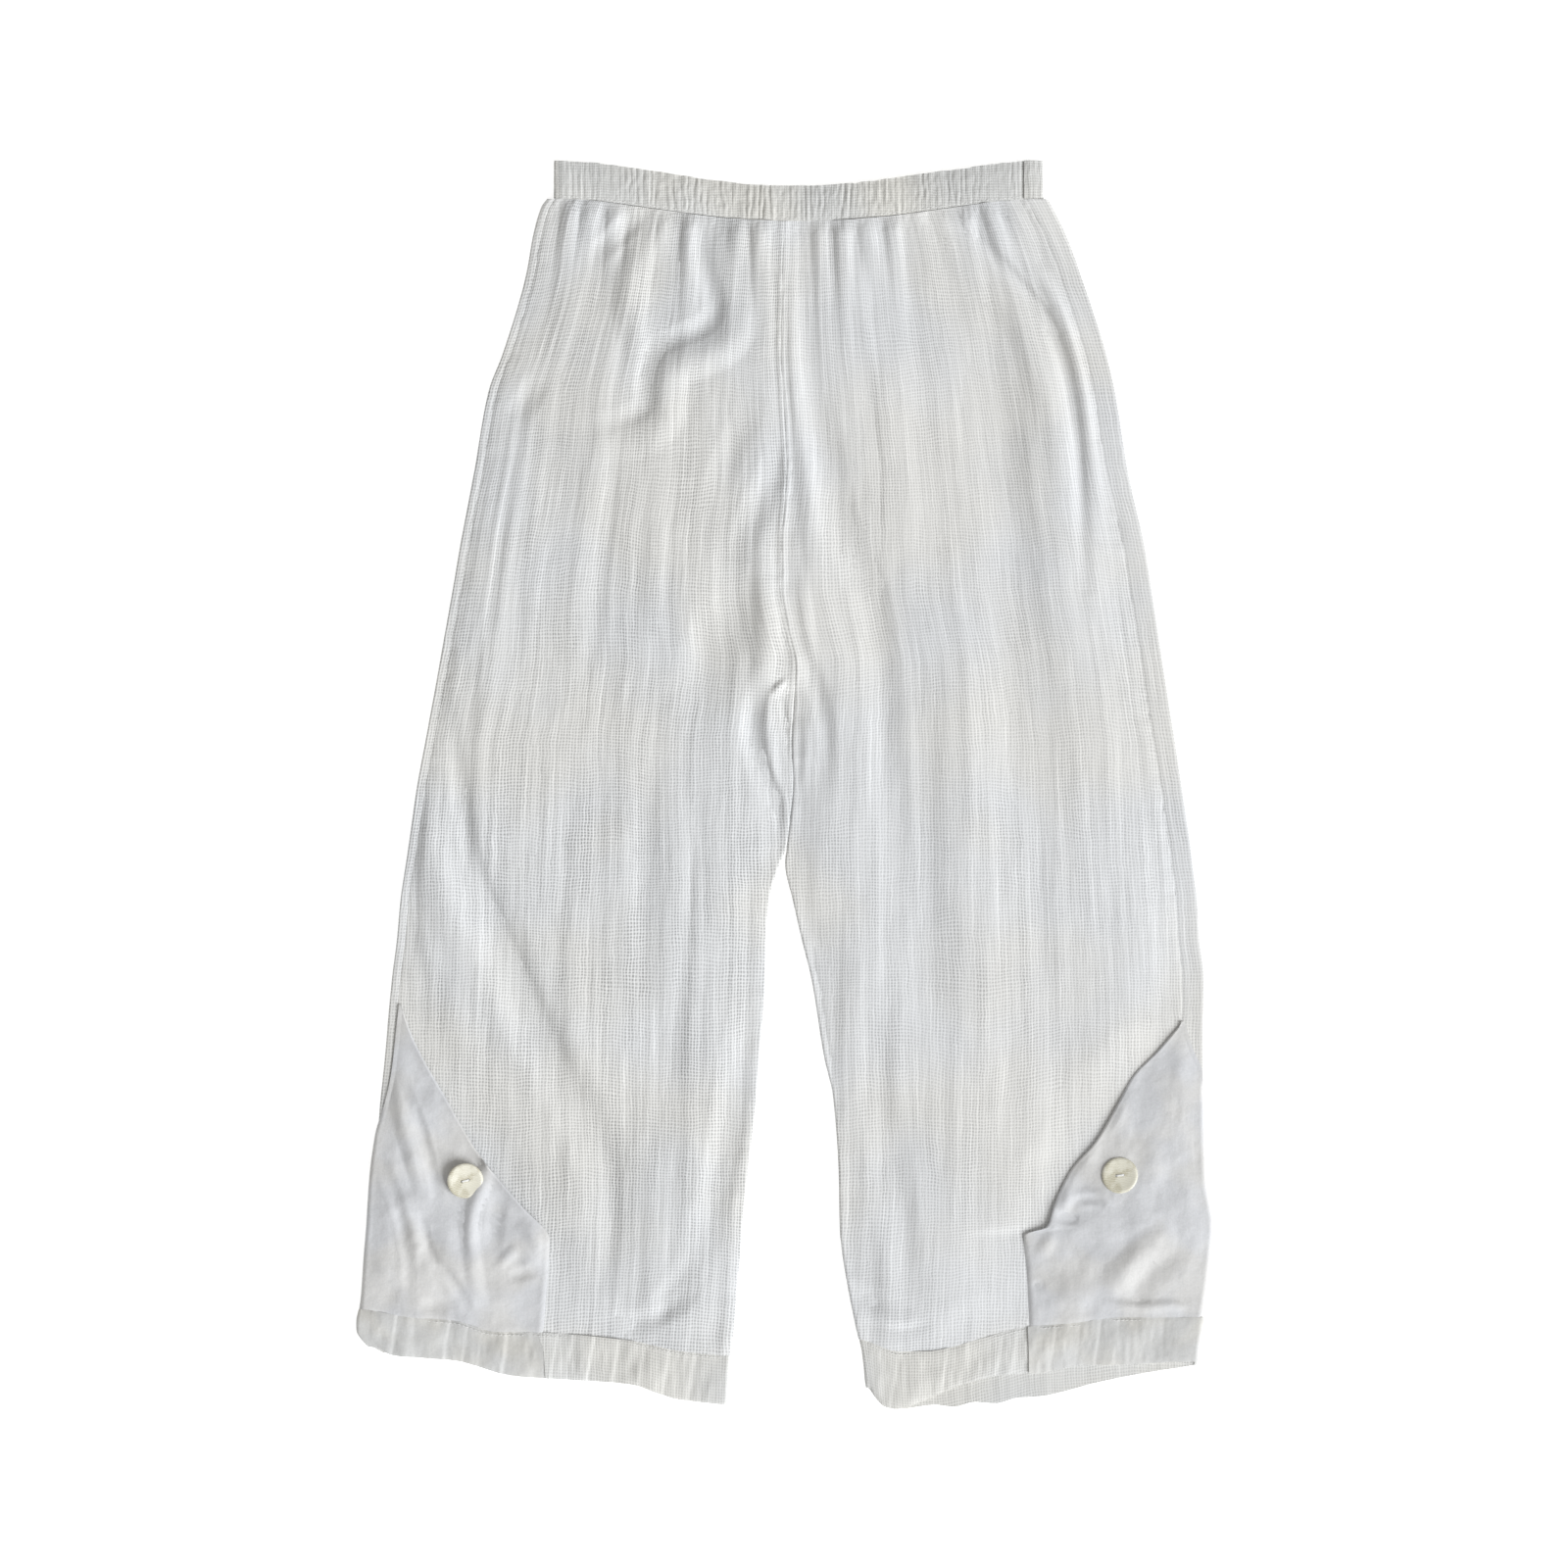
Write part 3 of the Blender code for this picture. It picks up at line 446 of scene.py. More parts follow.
STITCH = 3.1
STITCH_LENGTH = 2.3
STITCH_RADIUS = 0.22
STITCH_SAMPLES, BAND_STITCH_SAMPLES = 200, 900
STITCH_IN = 2.2
STITCH_UP = 0.1
STITCHED = (0.02, 0.985)
STITCH_ENDS = (0, 0.05)
BAND_STITCH_ENDS = (6, 3)
BAND_STITCH_IN = 1.6
BAND_STITCH_UP = 0.2
BAND_STITCH_RIBS = 0.4
SPINDLE = Matrix.Rotation(math.pi / 2, 4, "Y")

# The thread of a button: two strands, their radius, and how far each reaches and stands up
STRANDS = (-0.32, 0.32)
STRAND_RADIUS = 0.33
STRAND_POINTS = 15
STRAND_REACH = 1.08
STRAND_FLAT, STRAND_STEEP = 0.6, 0.8
STRAND_FOOT = 0.2
STRAND_UP = 0.28

# The frame of the view: 1600 pixels of 0.7 mm, seen from straight above
PIXELS = 1600
PIXEL = 0.7
MIDDLE_PIXEL = (801.0, 799.5)
CAMERA_HEIGHT = 4.0
SENSOR = 36.0

SKY = 0.42
SUN = 3.5
SUN_SPREAD = 40
SUN_FROM = (0.70, -0.48, 0.55)
FLOOR_GLOW = 0.6
FLOOR_SIZE = 12
FLOOR_DROP = 0.25


def curve(at, points):
    """Reads a smooth curve through the points, which never swings past them."""
    xs, ys = np.array(sorted(points), float).T
    steep = np.diff(ys) / np.diff(xs)
    both = steep[:-1] * steep[1:]
    middle = np.divide(2 * both, steep[:-1] + steep[1:], out=np.zeros_like(both), where=both > 0)
    slope = np.concatenate([steep[:1], middle, steep[-1:]])
    at = np.clip(at, xs[0], xs[-1])
    i = np.clip(np.searchsorted(xs, at) - 1, 0, len(xs) - 2)
    wide = xs[i + 1] - xs[i]
    t = (at - xs[i]) / wide
    return (
        ys[i] * (1 + 2 * t) * (1 - t) ** 2
        + ys[i + 1] * t * t * (3 - 2 * t)
        + wide * (slope[i] * t * (1 - t) ** 2 - slope[i + 1] * t * t * (1 - t))
    )


def column(table, level, name, y):
    """Reads a column of a table at y, by the column that holds its levels."""
    return curve(y, [(getattr(row, level), getattr(row, name)) for row in table])


def mix(a, b, t):
    return a + (b - a) * t


def smooth(value, low, high):
    """0 below low and 1 above high, with a soft turn at both."""
    t = np.clip((value - low) / (high - low), 0, 1)
    return t * t * (3 - 2 * t)


def soft_floor(value, least, turn=0.6):
    """The value, or softly no less than the least."""
    return least + turn * np.logaddexp(0, (value - least) / turn)


def noise(x, y, seed):
    """Soft noise from -1 to 1 over a unit lattice, the same each run."""
    table = np.random.default_rng(seed).uniform(-1, 1, (LATTICE, LATTICE))
    i, j = np.floor(x).astype(int), np.floor(y).astype(int)
    fx, fy = smooth(x - i, 0, 1), smooth(y - j, 0, 1)
    near = mix(table[i % LATTICE, j % LATTICE], table[(i + 1) % LATTICE, j % LATTICE], fx)
    far = mix(table[i % LATTICE, (j + 1) % LATTICE], table[(i + 1) % LATTICE, (j + 1) % LATTICE], fx)
    return mix(near, far, fy)


def ripple_relief(sets, across, along, seed, start=0):
    """Adds a noise for each row to the start, each with the next seed."""
    ripples = (r.height * noise(across / r.wide, along / r.long, seed + i) for i, r in enumerate(sets))
    return sum(ripples, start)


# ---- The lines that the cloth is cut and folded along ----


def outline(leg, place, y):
    return column(OUTLINE, "y", f"{leg}_{place}", y)


def side_edge(leg, y):
    """The folded outer edge of the gauze, which is drawn in where the smooth cloth turns round it."""
    return outline(leg, "side", y) + INWARD[leg] * (PLAIN + OVERLAY) * smooth(-y, -DRAW_IN_FROM, -DRAW_IN_TO)


def inner_edge(leg, y):
    return outline(leg, "inner", y) - INWARD[leg] * LEG_GAP


def side_seam(leg, y):
    return side_edge(leg, y) + INWARD[leg] * SIDE_LIP[leg]


def height(y):
    """Height of the garment at its folded edges: the two walls and the air between them."""
    waist = 2 * (CASING - GAUZE) * np.clip((y - WAIST_SIDE + WAIST_RAMP) / WAIST_RAMP, 0, 1)
    hem = 2 * (HEM - GAUZE) * np.clip((HEM_LINE + HEM_RAMP - y) / HEM_RAMP, 0, 1)
    return 2 * GAUZE + AIR + waist + hem


def flat_end(leg, y):
    """Where the flat cloth ends and its inner edge begins to turn."""
    return inner_edge(leg, y) - INWARD[leg] * height(y) / 2


def waist_line(x, end, sag):
    """An edge of the waistband, lowest at its middle."""
    middle, half = (BAND_LEFT + BAND_RIGHT) / 2, (BAND_LEFT - BAND_RIGHT) / 2
    return end - sag * np.maximum(0, 1 - ((x - middle) / half) ** 2) ** 2


def line_across(leg, level, t):
    """X at shares of the way from the side seam to the inner edge."""
    return mix(side_seam(leg, level), inner_edge(leg, level), t)


def waist_seam(leg, t):
    return waist_line(line_across(leg, WAIST_SIDE, t), WAIST_SIDE, BAND_SAG)


def hem_line(leg, t, lines):
    """The hem seam or an edge of the hem."""
    return curve(line_across(leg, HEM_LINE, t), lines[leg])


# ---- Relief ----


def away(path, x, y):
    """Distance from a path, and how far along it, from 0 to 1."""
    steps = np.hypot(*np.diff(path, axis=0).T)
    starts = np.concatenate([[0], np.cumsum(steps)])
    best, where = np.full(np.shape(x), np.inf), np.zeros(np.shape(x))
    for (x0, y0), (x1, y1), step, start in zip(path, path[1:], steps, starts):
        t = np.clip(((x - x0) * (x1 - x0) + (y - y0) * (y1 - y0)) / step**2, 0, 1)
        gap = np.hypot(x - mix(x0, x1, t), y - mix(y0, y1, t))
        where = np.where(gap < best, (start + t * step) / starts[-1], where)
        best = np.minimum(best, gap)
    return best, where


def cut_corners(path):
    """The path with each corner cut off, and both its ends kept."""
    path = np.array(path, float)
    near, far = mix(path[:-1], path[1:], 0.25), mix(path[:-1], path[1:], 0.75)
    return np.concatenate([path[:1], np.stack([near, far], 1).reshape(-1, 2), path[-1:]])


def fold_relief(table, leg, x, y):
    total = np.zeros(np.shape(x))
    for fold in table[leg]:
        gap, where = away(cut_corners(cut_corners(fold.path)), x, y)
        bell = np.maximum(0, 1 - (gap / fold.half_width) ** 2) ** 2
        total += fold.height * bell * mix(FOLD_ENDS, 1, np.sin(math.pi * where))
    return total


def gather_relief(x, y):
    total = np.zeros(np.shape(x))
    for row in GATHERS:
        down = np.maximum(0, waist_line(row.x, WAIST_SIDE, BAND_SAG) - y)
        across = (x - row.x - row.lean * down / row.reach) / GATHER_WIDTH
        size = GATHER_SIZE * row.height * smooth(down, *GATHER_START)
        total += size * np.maximum(0, 1 - across**2) * np.exp(-((down / row.reach) ** 2))
    return total


def under_flap(leg, x, y):
    """1 where the smooth cloth lies on the gauze, which is flat there."""
    inside = (column(FLAPS[leg], "inner_y", "inner_x", y) - x) * INWARD[leg]
    return smooth(inside, -FLAT_FROM, -FLAT_TO) * smooth(-y, -FLAP_TOP - FLAT_FROM, -FLAP_TOP - FLAT_TO)


def inner_curl(y):
    """0 at the centre seam, where the inner edges are flat, and 1 down the inseams, where they turn."""
    return 1 - smooth(y, CROTCH - CROTCH_TURN, CROTCH + CROTCH_TURN)


def crotch_rise(y):
    """The front stands up where the four seams meet and its edge begins to turn."""
    return 4 * CROTCH_RISE * inner_curl(y) * (1 - inner_curl(y))


def puff_height(y):
    """How far the slack front stands up, which the waistband draws flat."""
    return PUFF * (1 - smooth(y, WAIST_SIDE - WAIST_RAMP, WAIST_SIDE))


def centre_ridge(y, gap):
    """The low ridge that the seam allowance makes at the centre seam."""
    return CENTRE_RIDGE * (1 - inner_curl(y)) * (1 - smooth(gap, 1, CENTRE_RUN))


def front_top(leg, x, y):
    """Height of the front's outer face."""
    side, inner = np.abs(x - side_seam(leg, y)), np.abs(x - inner_edge(leg, y))
    fade = smooth(side, 0, EDGE_FADE) * smooth(inner, 0, EDGE_FADE)
    above = y - curve(x, HEM_SEAMS[leg])
    puff = puff_height(y) * smooth(side, 0, PUFF_FADE) * smooth(above, 0, PUFF_FADE)
    puff *= mix(1, smooth(inner, 0, PUFF_FADE), inner_curl(y))
    creases = FOLD_DEPTH * fold_relief(FOLDS, leg, x, y) + fold_relief(FINE_FOLDS, leg, x, y)
    creases *= smooth(above, 0, EDGE_FADE)
    lift = soft_floor(puff + creases, LEAST_LIFT) + FOLD_DEPTH * gather_relief(x, y)
    lift = mix(puff, lift, fade) + centre_ridge(y, inner)
    knot = np.exp(-((inner / EDGE_FADE) ** 2)) * crotch_rise(y)
    return height(y) + knot + (1 - under_flap(leg, x, y)) * lift


def groove(gap):
    """How far the cloth dips this far from a seam."""
    return GROOVE * np.maximum(0, 1 - gap / GROOVE_RUN) ** 2


def pucker(along, gap, seed):
    """Small creases that leave a seam at right angles."""
    return PUCKER * np.exp(-gap / PUCKER_RUN) * noise(along / PUCKER_LENGTH, gap / PUCKER_RUN / 2, seed)


def crinkle_share(leg, t):
    """How strongly the gauze is crinkled across a leg, from the side seam to the inner edge."""
    if leg == "right":
        return np.ones(np.shape(t))
    return mix(*FAINT_TO_FULL, smooth(np.abs(t - FAINT_MIDDLE), *FAINT_RUN))


def crinkle_relief(across, along, seed):
    """Fine lines of pressed crinkle down the leg."""
    total = 0
    waver = ripple_relief(CRINKLE_WAVER, along, across, seed)
    for i, row in enumerate(CRINKLES):
        line = 1 - np.abs(noise(across / row.wide + waver, along / row.long, seed + i))
        total = total + row.height * (line**4 - CRINKLE_SUNK)
    return total


def rib(x, y):
    """The ribs of the gathered waistband, which run on into the gauze below it."""
    pitch = (BAND_LEFT - BAND_RIGHT - BAND_LIP_LEFT - BAND_LIP_RIGHT) / BAND_GATHERS
    phase = ripple_relief(RIB_WANDER, x, y, SEEDS["rib_wander"], x / pitch)
    size = RIB_HEIGHT * ripple_relief(RIB_SIZES, x, y, SEEDS["rib_size"], RIB_SIZE)
    fray = ripple_relief(RIB_FRAY, x, y, SEEDS["rib_fray"])
    return size * (np.abs(np.sin(math.pi * phase)) ** RIB_ROUND - RIB_SUNK) + fray


def pleat_relief(leg, folded, x):
    """Each pleat rises to its fold over its width, and drops there to the start of the next one."""
    total = np.zeros(np.shape(x))
    for k, fold in enumerate(folded):
        past = x - fold
        near = min([fold - other for other in folded if fold > other], default=PLEAT_RUN)
        run = min(near, PLEAT_RUN * PLEAT_RUNS[k % len(PLEAT_RUNS)])
        lap = smooth(-past, -PLEAT_DROP, 0) * np.maximum(0, 1 - (np.maximum(-past, 0) / run) ** 2)
        total = np.maximum(total, lap * PLEAT_SIZES[k % len(PLEAT_SIZES)])
    return PLEAT_HEIGHT[leg] * total


def hem_relief(x, y, top, bottom, seed):
    """Fine creases of a hem, and the way that its two edges turn in."""
    rolled = HEM_ROLLED * np.maximum(0, 1 - np.abs(y - bottom) / HEM_ROLL) ** 2
    return ripple_relief(HEM_RIPPLES, x, y, seed) - HEM_GROOVE * groove(np.abs(top - y)) - rolled


def flap_top(leg, x, y, inner_x, flare, creased=1):
    """Height of the smooth cloth: the gauze's flat top, moved out, with creases and a raised free edge."""
    gap, rim = np.abs(inner_x - x), np.abs(x - outline(leg, "side", y))
    free = flare * FLARE * np.exp(-gap / FLARE_RUN)
    above = y - curve(x, HEM_SEAMS[leg])
    puff = FLAP_PUFF * creased * smooth(gap, 0, PUFF_FADE) * smooth(above, 0, PUFF_FADE)
    creases = fold_relief(FLAP_FOLDS, leg, x, y) + creased * fold_relief(FLAP_CREASES, leg, x, y)
    inside = smooth(rim, CREASES_FROM, CREASES_FULL) * smooth(above, -CREASES_FROM, EDGE_FADE)
    sewn = smooth(SEWN_BELOW - y, *SEWN_RUN)
    roll = np.maximum(0, 1 - gap / (EDGE_ROLL + SEWN_ROLL * sewn)) ** 2
    free = free - creased * (ROLLED + SEWN_ROLLED * sewn) * roll
    return height(y) + OVERLAY + PLAIN + free + soft_floor(inside * (creases + puff), LEAST_CREASE, FLAP_TURN)


# ---- Walls ----


def crowded(count):
    """Shares from 0 to 1, closer together at both ends."""
    ends = np.array(SEAM_STEPS)
    return np.concatenate([ends[:-1], np.linspace(ends[-1], 1 - ends[-1], count), 1 - ends[-2::-1]])


def stack(*parts):
    """Joins blocks of columns, each given as x, y and z, into rows of points."""
    blocks = (np.broadcast_arrays(*(np.asarray(axis, float) for axis in part)) for part in parts)
    return np.concatenate([np.stack(block, axis=-1) for block in blocks], axis=1)


def widened(relief, before=0, after=0):
    """The relief, with its end columns carried on over the turns beside them."""
    return np.pad(relief, ((0, 0), (before, after)), mode="edge")


def turned_end(radius, curl):
    """Steps outwards and downwards from the flat cloth, round to half height."""
    angle = np.linspace(0, math.pi / 2, TURN_STEPS + 1)[1:]
    share = angle / angle[-1]
    return radius * mix(share, np.sin(angle), curl), curl * (radius - SEAM / 4) * (1 - np.cos(angle))


def inner_turn(leg, y, floor):
    """The cloth's inner edge, turned to half height."""
    radius = height(y) / 2
    out, drop = turned_end(radius, inner_curl(y))
    x = inner_edge(leg, y) - INWARD[leg] * (radius - out)
    if floor:
        return x, y, drop
    raised = (1 - inner_curl(y)) * puff_height(y) + centre_ridge(y, radius - out)
    return x, y, height(y) + crotch_rise(y) + raised - drop


def fold_round(edge, inward, y, radius):
    """A half circle from the top, round the folded edge, to the floor."""
    angle = np.linspace(math.pi / 2, -math.pi / 2, FOLD_STEPS + 1)
    return edge + inward * radius * (1 - np.cos(angle)), y, radius * (1 + np.sin(angle))


def arc_uv(points, start):
    """Places on the flat cloth, by the length along each row from its start, and down each column."""
    across = np.linalg.norm(np.diff(points, axis=1), axis=2)
    u = start + np.concatenate([np.zeros((len(points), 1)), np.cumsum(across, axis=1)], axis=1)
    along = np.linalg.norm(np.diff(points, axis=0)[..., 1:], axis=2)
    v = np.concatenate([np.zeros((1, points.shape[1])), np.cumsum(along, axis=0)], axis=0)
    return np.stack([u, points[:1, :, 1].mean() - v], axis=-1)


def thread_place(leg, x, y):
    """How far across the flat cloth of a leg a point lies."""
    level = np.maximum(y, THREADS_HANG + THREADS_LEAN * (y - THREADS_HANG))
    share = (x - side_seam(leg, level)) / (inner_edge(leg, level) - side_seam(leg, level))
    return share * LEG_WIDTH


def leg_uv(leg, points):
    """Places on the flat cloth of a leg, which drift where the cloth has been pulled."""
    x, y = points[..., 0], points[..., 1]
    drift = ripple_relief(THREAD_DRIFT, x, y, SEEDS["drift"])
    sway = ripple_relief(THREAD_SWAY, x, y, SEEDS["sway"])
    pulled = CROTCH_PULL * np.exp(-(np.hypot(x, y - CROTCH) / CROTCH_PULL_RUN) ** 2)
    return np.stack([thread_place(leg, x, y) + drift, y + sway + pulled], axis=-1)


def sparse(count):
    """The rows or columns that the inner side of a wall keeps."""
    return np.unique(np.append(np.arange(0, count, INNER_SPARING), count - 1))


def rim_faces(outer, inner, rows, columns):
    """Faces that close a wall round its edge, where the inner points are fewer than the outer ones."""
    sides = (
        (outer[0], inner[0], columns),
        (outer[:, -1], inner[:, -1], rows),
        (outer[-1, ::-1], inner[-1, ::-1], columns[-1] - columns[::-1]),
        (outer[::-1, 0], inner[::-1, 0], rows[-1] - rows[::-1]),
    )
    return [
        [*fine[a : b + 1][::-1], few[k], few[k + 1]]
        for fine, few, marks in sides
        for k, (a, b) in enumerate(zip(marks, marks[1:]))
    ]


def grid_faces(index):
    return np.stack([index[:-1, :-1], index[:-1, 1:], index[1:, 1:], index[1:, :-1]], -1).reshape(-1, 4)


def add_piece(name, mesh, finish, place=Matrix()):
    """A piece of the looks, which rides on the garment's one body."""
    if not mesh.materials:
        mesh.materials.append(finish)
    obj = bpy.data.objects.new(name, mesh)
    looks.objects.link(obj)
    obj.matrix_world = place
    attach(obj, "root")
    return obj


def wall(name, node, base, relief, thick, up, finish, slot="gauze", places=None):
    """A closed wall: outer points raised over fewer plain inner ones and joined round the rim.
    It replaces the node. places holds where each point lies on the flat cloth."""
    normal = np.cross(np.gradient(base, axis=1), np.gradient(base, axis=0))
    normal /= np.maximum(np.linalg.norm(normal, axis=2, keepdims=True), 1e-9)
    turned = (normal[..., 2].sum() > 0) != up
    normal = -normal if turned else normal
    kept = sparse(base.shape[0]), sparse(base.shape[1])
    few = np.ix_(*kept)
    outer, inner = base + normal * np.asarray(relief)[..., None], (base - normal * thick)[few]
    index = np.arange(base[..., 0].size).reshape(base.shape[:2])
    lower = index.size + np.arange(inner[..., 0].size).reshape(inner.shape[:2])
    faces = grid_faces(index).tolist() + grid_faces(lower)[:, ::-1].tolist()
    faces += rim_faces(index, lower, *kept)
    faces = [face[::-1] for face in faces] if turned else faces
    points = np.concatenate([outer.reshape(-1, 3), inner.reshape(-1, 3)])
    mesh = bpy.data.meshes.new(name)
    mesh.from_pydata((points * MM).tolist(), [], faces)
    lookup = np.empty(len(mesh.loops), np.int32)
    mesh.loops.foreach_get("vertex_index", lookup)
    if places is None:
        places = arc_uv(base, base[:, :1, 0] * (1 if "right" in name else -1))
    flat = np.concatenate([places.reshape(-1, 2), places[few].reshape(-1, 2)]) * MM
    mesh.uv_layers.new(name="weave").data.foreach_set("uv", flat[lookup].astype(np.float32).ravel())
    mesh.shade_smooth()
    mesh.set_sharp_from_angle(angle=math.radians(RIM_ANGLE))
    obj = add_piece(name, mesh, finish)
    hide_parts(node)
    return obj


# ---- The pieces of cloth ----


def front_panel(leg):
    t = crowded(FRONT_COLUMNS)
    top, low = waist_seam(leg, t), hem_line(leg, t, HEM_SEAMS)
    y = mix(top, low, crowded(FRONT_ROWS)[:, None] ** ROW_CROWDING)
    start = side_seam(leg, y) + INWARD[leg] * SEAM
    x = mix(start, flat_end(leg, y), t)
    side_gap, inner_gap = np.abs(x - start), np.abs(x - inner_edge(leg, y))
    inner = y[:, -1:]
    dip = groove(side_gap) + HEM_GROOVE * groove(y - low)
    centre = (1 - inner_curl(inner)) * GROOVE * np.linspace(0, 1, TURN_STEPS + 1)[1:] ** 2
    turn = inner_turn(leg, inner, floor=False)
    meet = (2 * CASING + AIR - TUCK - height(top)) * np.exp(-(((top - y) / MEET_RUN) ** 2))
    flat = (x, y, front_top(leg, x, y) + meet - dip)
    base = stack(flat, (turn[0], turn[1], turn[2] + meet[:, -1:] - centre))

    seed = SEEDS[f"front_{leg}"]
    across, fade = thread_place(leg, x, y), smooth(np.minimum(side_gap, inner_gap), 0, EDGE_FADE)
    fine = ripple_relief(RIPPLES, across, y, seed) * fade
    fine += crinkle_relief(across, y, seed + 10) * crinkle_share(leg, t) * smooth(side_gap, 0, CRINKLES_FULL)
    fine += pucker(y, side_gap, seed + 20) + pucker(y, inner_gap, seed + 21)
    fine += RIBS_BELOW * rib(x, y) * np.exp(-(top - y) / RIB_REACH) * smooth(top - y, *RIB_START)
    fine *= mix(PRESSED_FLAT, 1, 1 - under_flap(leg, x, y))
    turn_shares = np.r_[np.ones(len(t)), np.linspace(TURN_SHARE, 0, TURN_STEPS)]
    relief = widened(fine, after=TURN_STEPS) * turn_shares
    finish, places = gauzes[leg], leg_uv(leg, base)
    return wall(f"cloth_front_{leg}", f"front_{leg}", base, relief, GAUZE_SHELL, True, finish, places=places)


def back_panel(leg):
    t = crowded(BACK_COLUMNS)
    top, low = waist_seam(leg, t), hem_line(leg, t, HEM_SEAMS)
    y = mix(top, low, crowded(BACK_ROWS)[:, None] ** ROW_CROWDING)
    x = mix(side_edge(leg, y) + INWARD[leg] * (height(y) / 2), flat_end(leg, y), t)
    side = y[:, :1]
    edge, seam, radius = side_edge(leg, side), side_seam(leg, side), height(side) / 2
    lip = mix(seam, edge + INWARD[leg] * radius, np.linspace(0, 1, LIP_COLUMNS + 1)[:-1])
    lip_top = height(side) - groove(np.abs(lip - seam))
    round_edge = fold_round(edge, INWARD[leg], side, radius)
    turn = inner_turn(leg, y[:, -1:], floor=True)
    base = stack((lip, side, lip_top), round_edge, (x[:, 1:], y[:, 1:], 0), turn)

    seed = SEEDS[f"back_{leg}"]
    before = LIP_COLUMNS + FOLD_STEPS + 1
    inner, folded = slice(before, before + len(t) - 1), slice(0, before)
    creases = ripple_relief(RIPPLES, t[1:] * LEG_WIDTH, y[:, 1:], seed)
    creases += BACK_FOLDS * fold_relief(FOLDS, leg, x, y)[:, 1:]
    edges = smooth(np.minimum(np.abs(x - x[:, :1]), np.abs(x - x[:, -1:]))[:, 1:], 0, EDGE_FADE)
    relief = np.zeros(base.shape[:2])
    relief[:, inner] = -np.clip(BACK_PRESSED + creases * BACK_CREASES, 0, BACK_MOST) * edges
    places = arc_uv(base, 0) * (-1, 1)
    places[..., 1] = ripple_relief(THREAD_SWAY[:1], base[..., 0], base[..., 1], SEEDS["sway"], base[..., 1])
    lines = crinkle_relief(places[:, folded, 0], base[:, folded, 1], seed + 5)
    relief[:, folded] = BACK_CRINKLE * lines * np.sin(np.linspace(0, math.pi, before))
    finish = gauzes[leg]
    return wall(f"cloth_back_{leg}", f"back_{leg}", base, relief, GAUZE_SHELL, False, finish, places=places)


def hem_grid(leg, first, last, edges):
    """The columns of a hem between two shares of its width, the seam above it, its edge and its rows."""
    wide = abs(side_seam(leg, HEM_LINE) - inner_edge(leg, HEM_LINE))
    t = np.linspace(first, last, int(wide * (last - first) / HEM_STEP) + 2)
    low, edge = hem_line(leg, t, HEM_SEAMS), hem_line(leg, t, edges)
    return t, low, edge, mix(low - SEAM, edge, np.linspace(0, 1, HEM_ROWS)[:, None])


def settled(y, edge):
    """How far the front hem has sunk onto the back one, most of all at its edge."""
    return HEM_SETTLE * np.maximum(0, 1 - (y - edge) / HEM_SETTLE_RUN) ** 2


def front_hem(leg):
    t, low, edge, y = hem_grid(leg, SPLIT, 1, FRONT_EDGES)
    x = mix(side_seam(leg, y), flat_end(leg, y), t) + INWARD[leg] * SEAM * (t == t[0])
    turn = inner_turn(leg, y[:, -1:], floor=False)
    base = stack((x, y, height(y) - settled(y, edge)), (*turn[:2], turn[2] - settled(y[:, -1:], edge[-1])))
    inside = smooth(np.abs(x - inner_edge(leg, y)), *PLEAT_EDGES)
    relief = inside * pleat_relief(leg, PLEATS, x - FRONT_PLEAT_SLANT * (y - low))
    relief = widened(relief + hem_relief(x, y, low, edge, SEEDS["front_hem"]), after=TURN_STEPS)
    return wall(f"hem_front_{leg}", f"front_hem_{leg}", base, relief, HEM, True, hem_gauze)


def side_hem(leg):
    t, low, edge, y = hem_grid(leg, 0, SPLIT, FRONT_EDGES)
    x = mix(side_seam(leg, y), flat_end(leg, y), t)
    side = y[:, :1]
    radius, rim = height(side) / 2, outline(leg, "side", side)
    out, drop = turned_end(radius, np.ones_like(side))
    sunk = settled(y, edge)
    z = height(y) - sunk
    turn = (rim + INWARD[leg] * (radius - out[:, ::-1]), side, height(side) - drop[:, ::-1] - sunk[:, :1])
    base = stack(turn, (rim + INWARD[leg] * radius, side, z[:, :1]), (x[:, 1:], y[:, 1:], z[:, 1:]))
    inside = smooth(np.abs(x - rim), *PLEAT_EDGES)
    relief = inside * pleat_relief(leg, SIDE_PLEATS, x - SIDE_PLEAT_SLANT * (y - low))
    relief = widened(relief + hem_relief(x, y, low, edge, SEEDS["side_hem"]), before=TURN_STEPS)
    return wall(f"hem_side_{leg}", f"side_hem_{leg}", base, relief, HEM, True, hem_plain, "plain_cloth")


def back_hem(leg):
    t, low, _, y = hem_grid(leg, 0, 1, BACK_EDGES)
    side = y[:, :1]
    radius = height(side) / 2
    x = mix(outline(leg, "side", y) + INWARD[leg] * (height(y) / 2), flat_end(leg, y), t)
    out, drop = turned_end(radius, np.ones_like(side))
    turn = (outline(leg, "side", side) + INWARD[leg] * (radius - out[:, ::-1]), side, drop[:, ::-1])
    base = stack(turn, (x, y, 0), inner_turn(leg, y[:, -1:], floor=True))
    creases = ripple_relief(BACK_HEM_RIPPLES, x, y, SEEDS["back_hem"], -BACK_HEM_RIPPLES[0].height)
    relief = widened(np.minimum(0, creases) - groove(low - y), TURN_STEPS, TURN_STEPS)
    return wall(f"hem_back_{leg}", f"back_hem_{leg}", base, relief, HEM, False, hem_gauze)


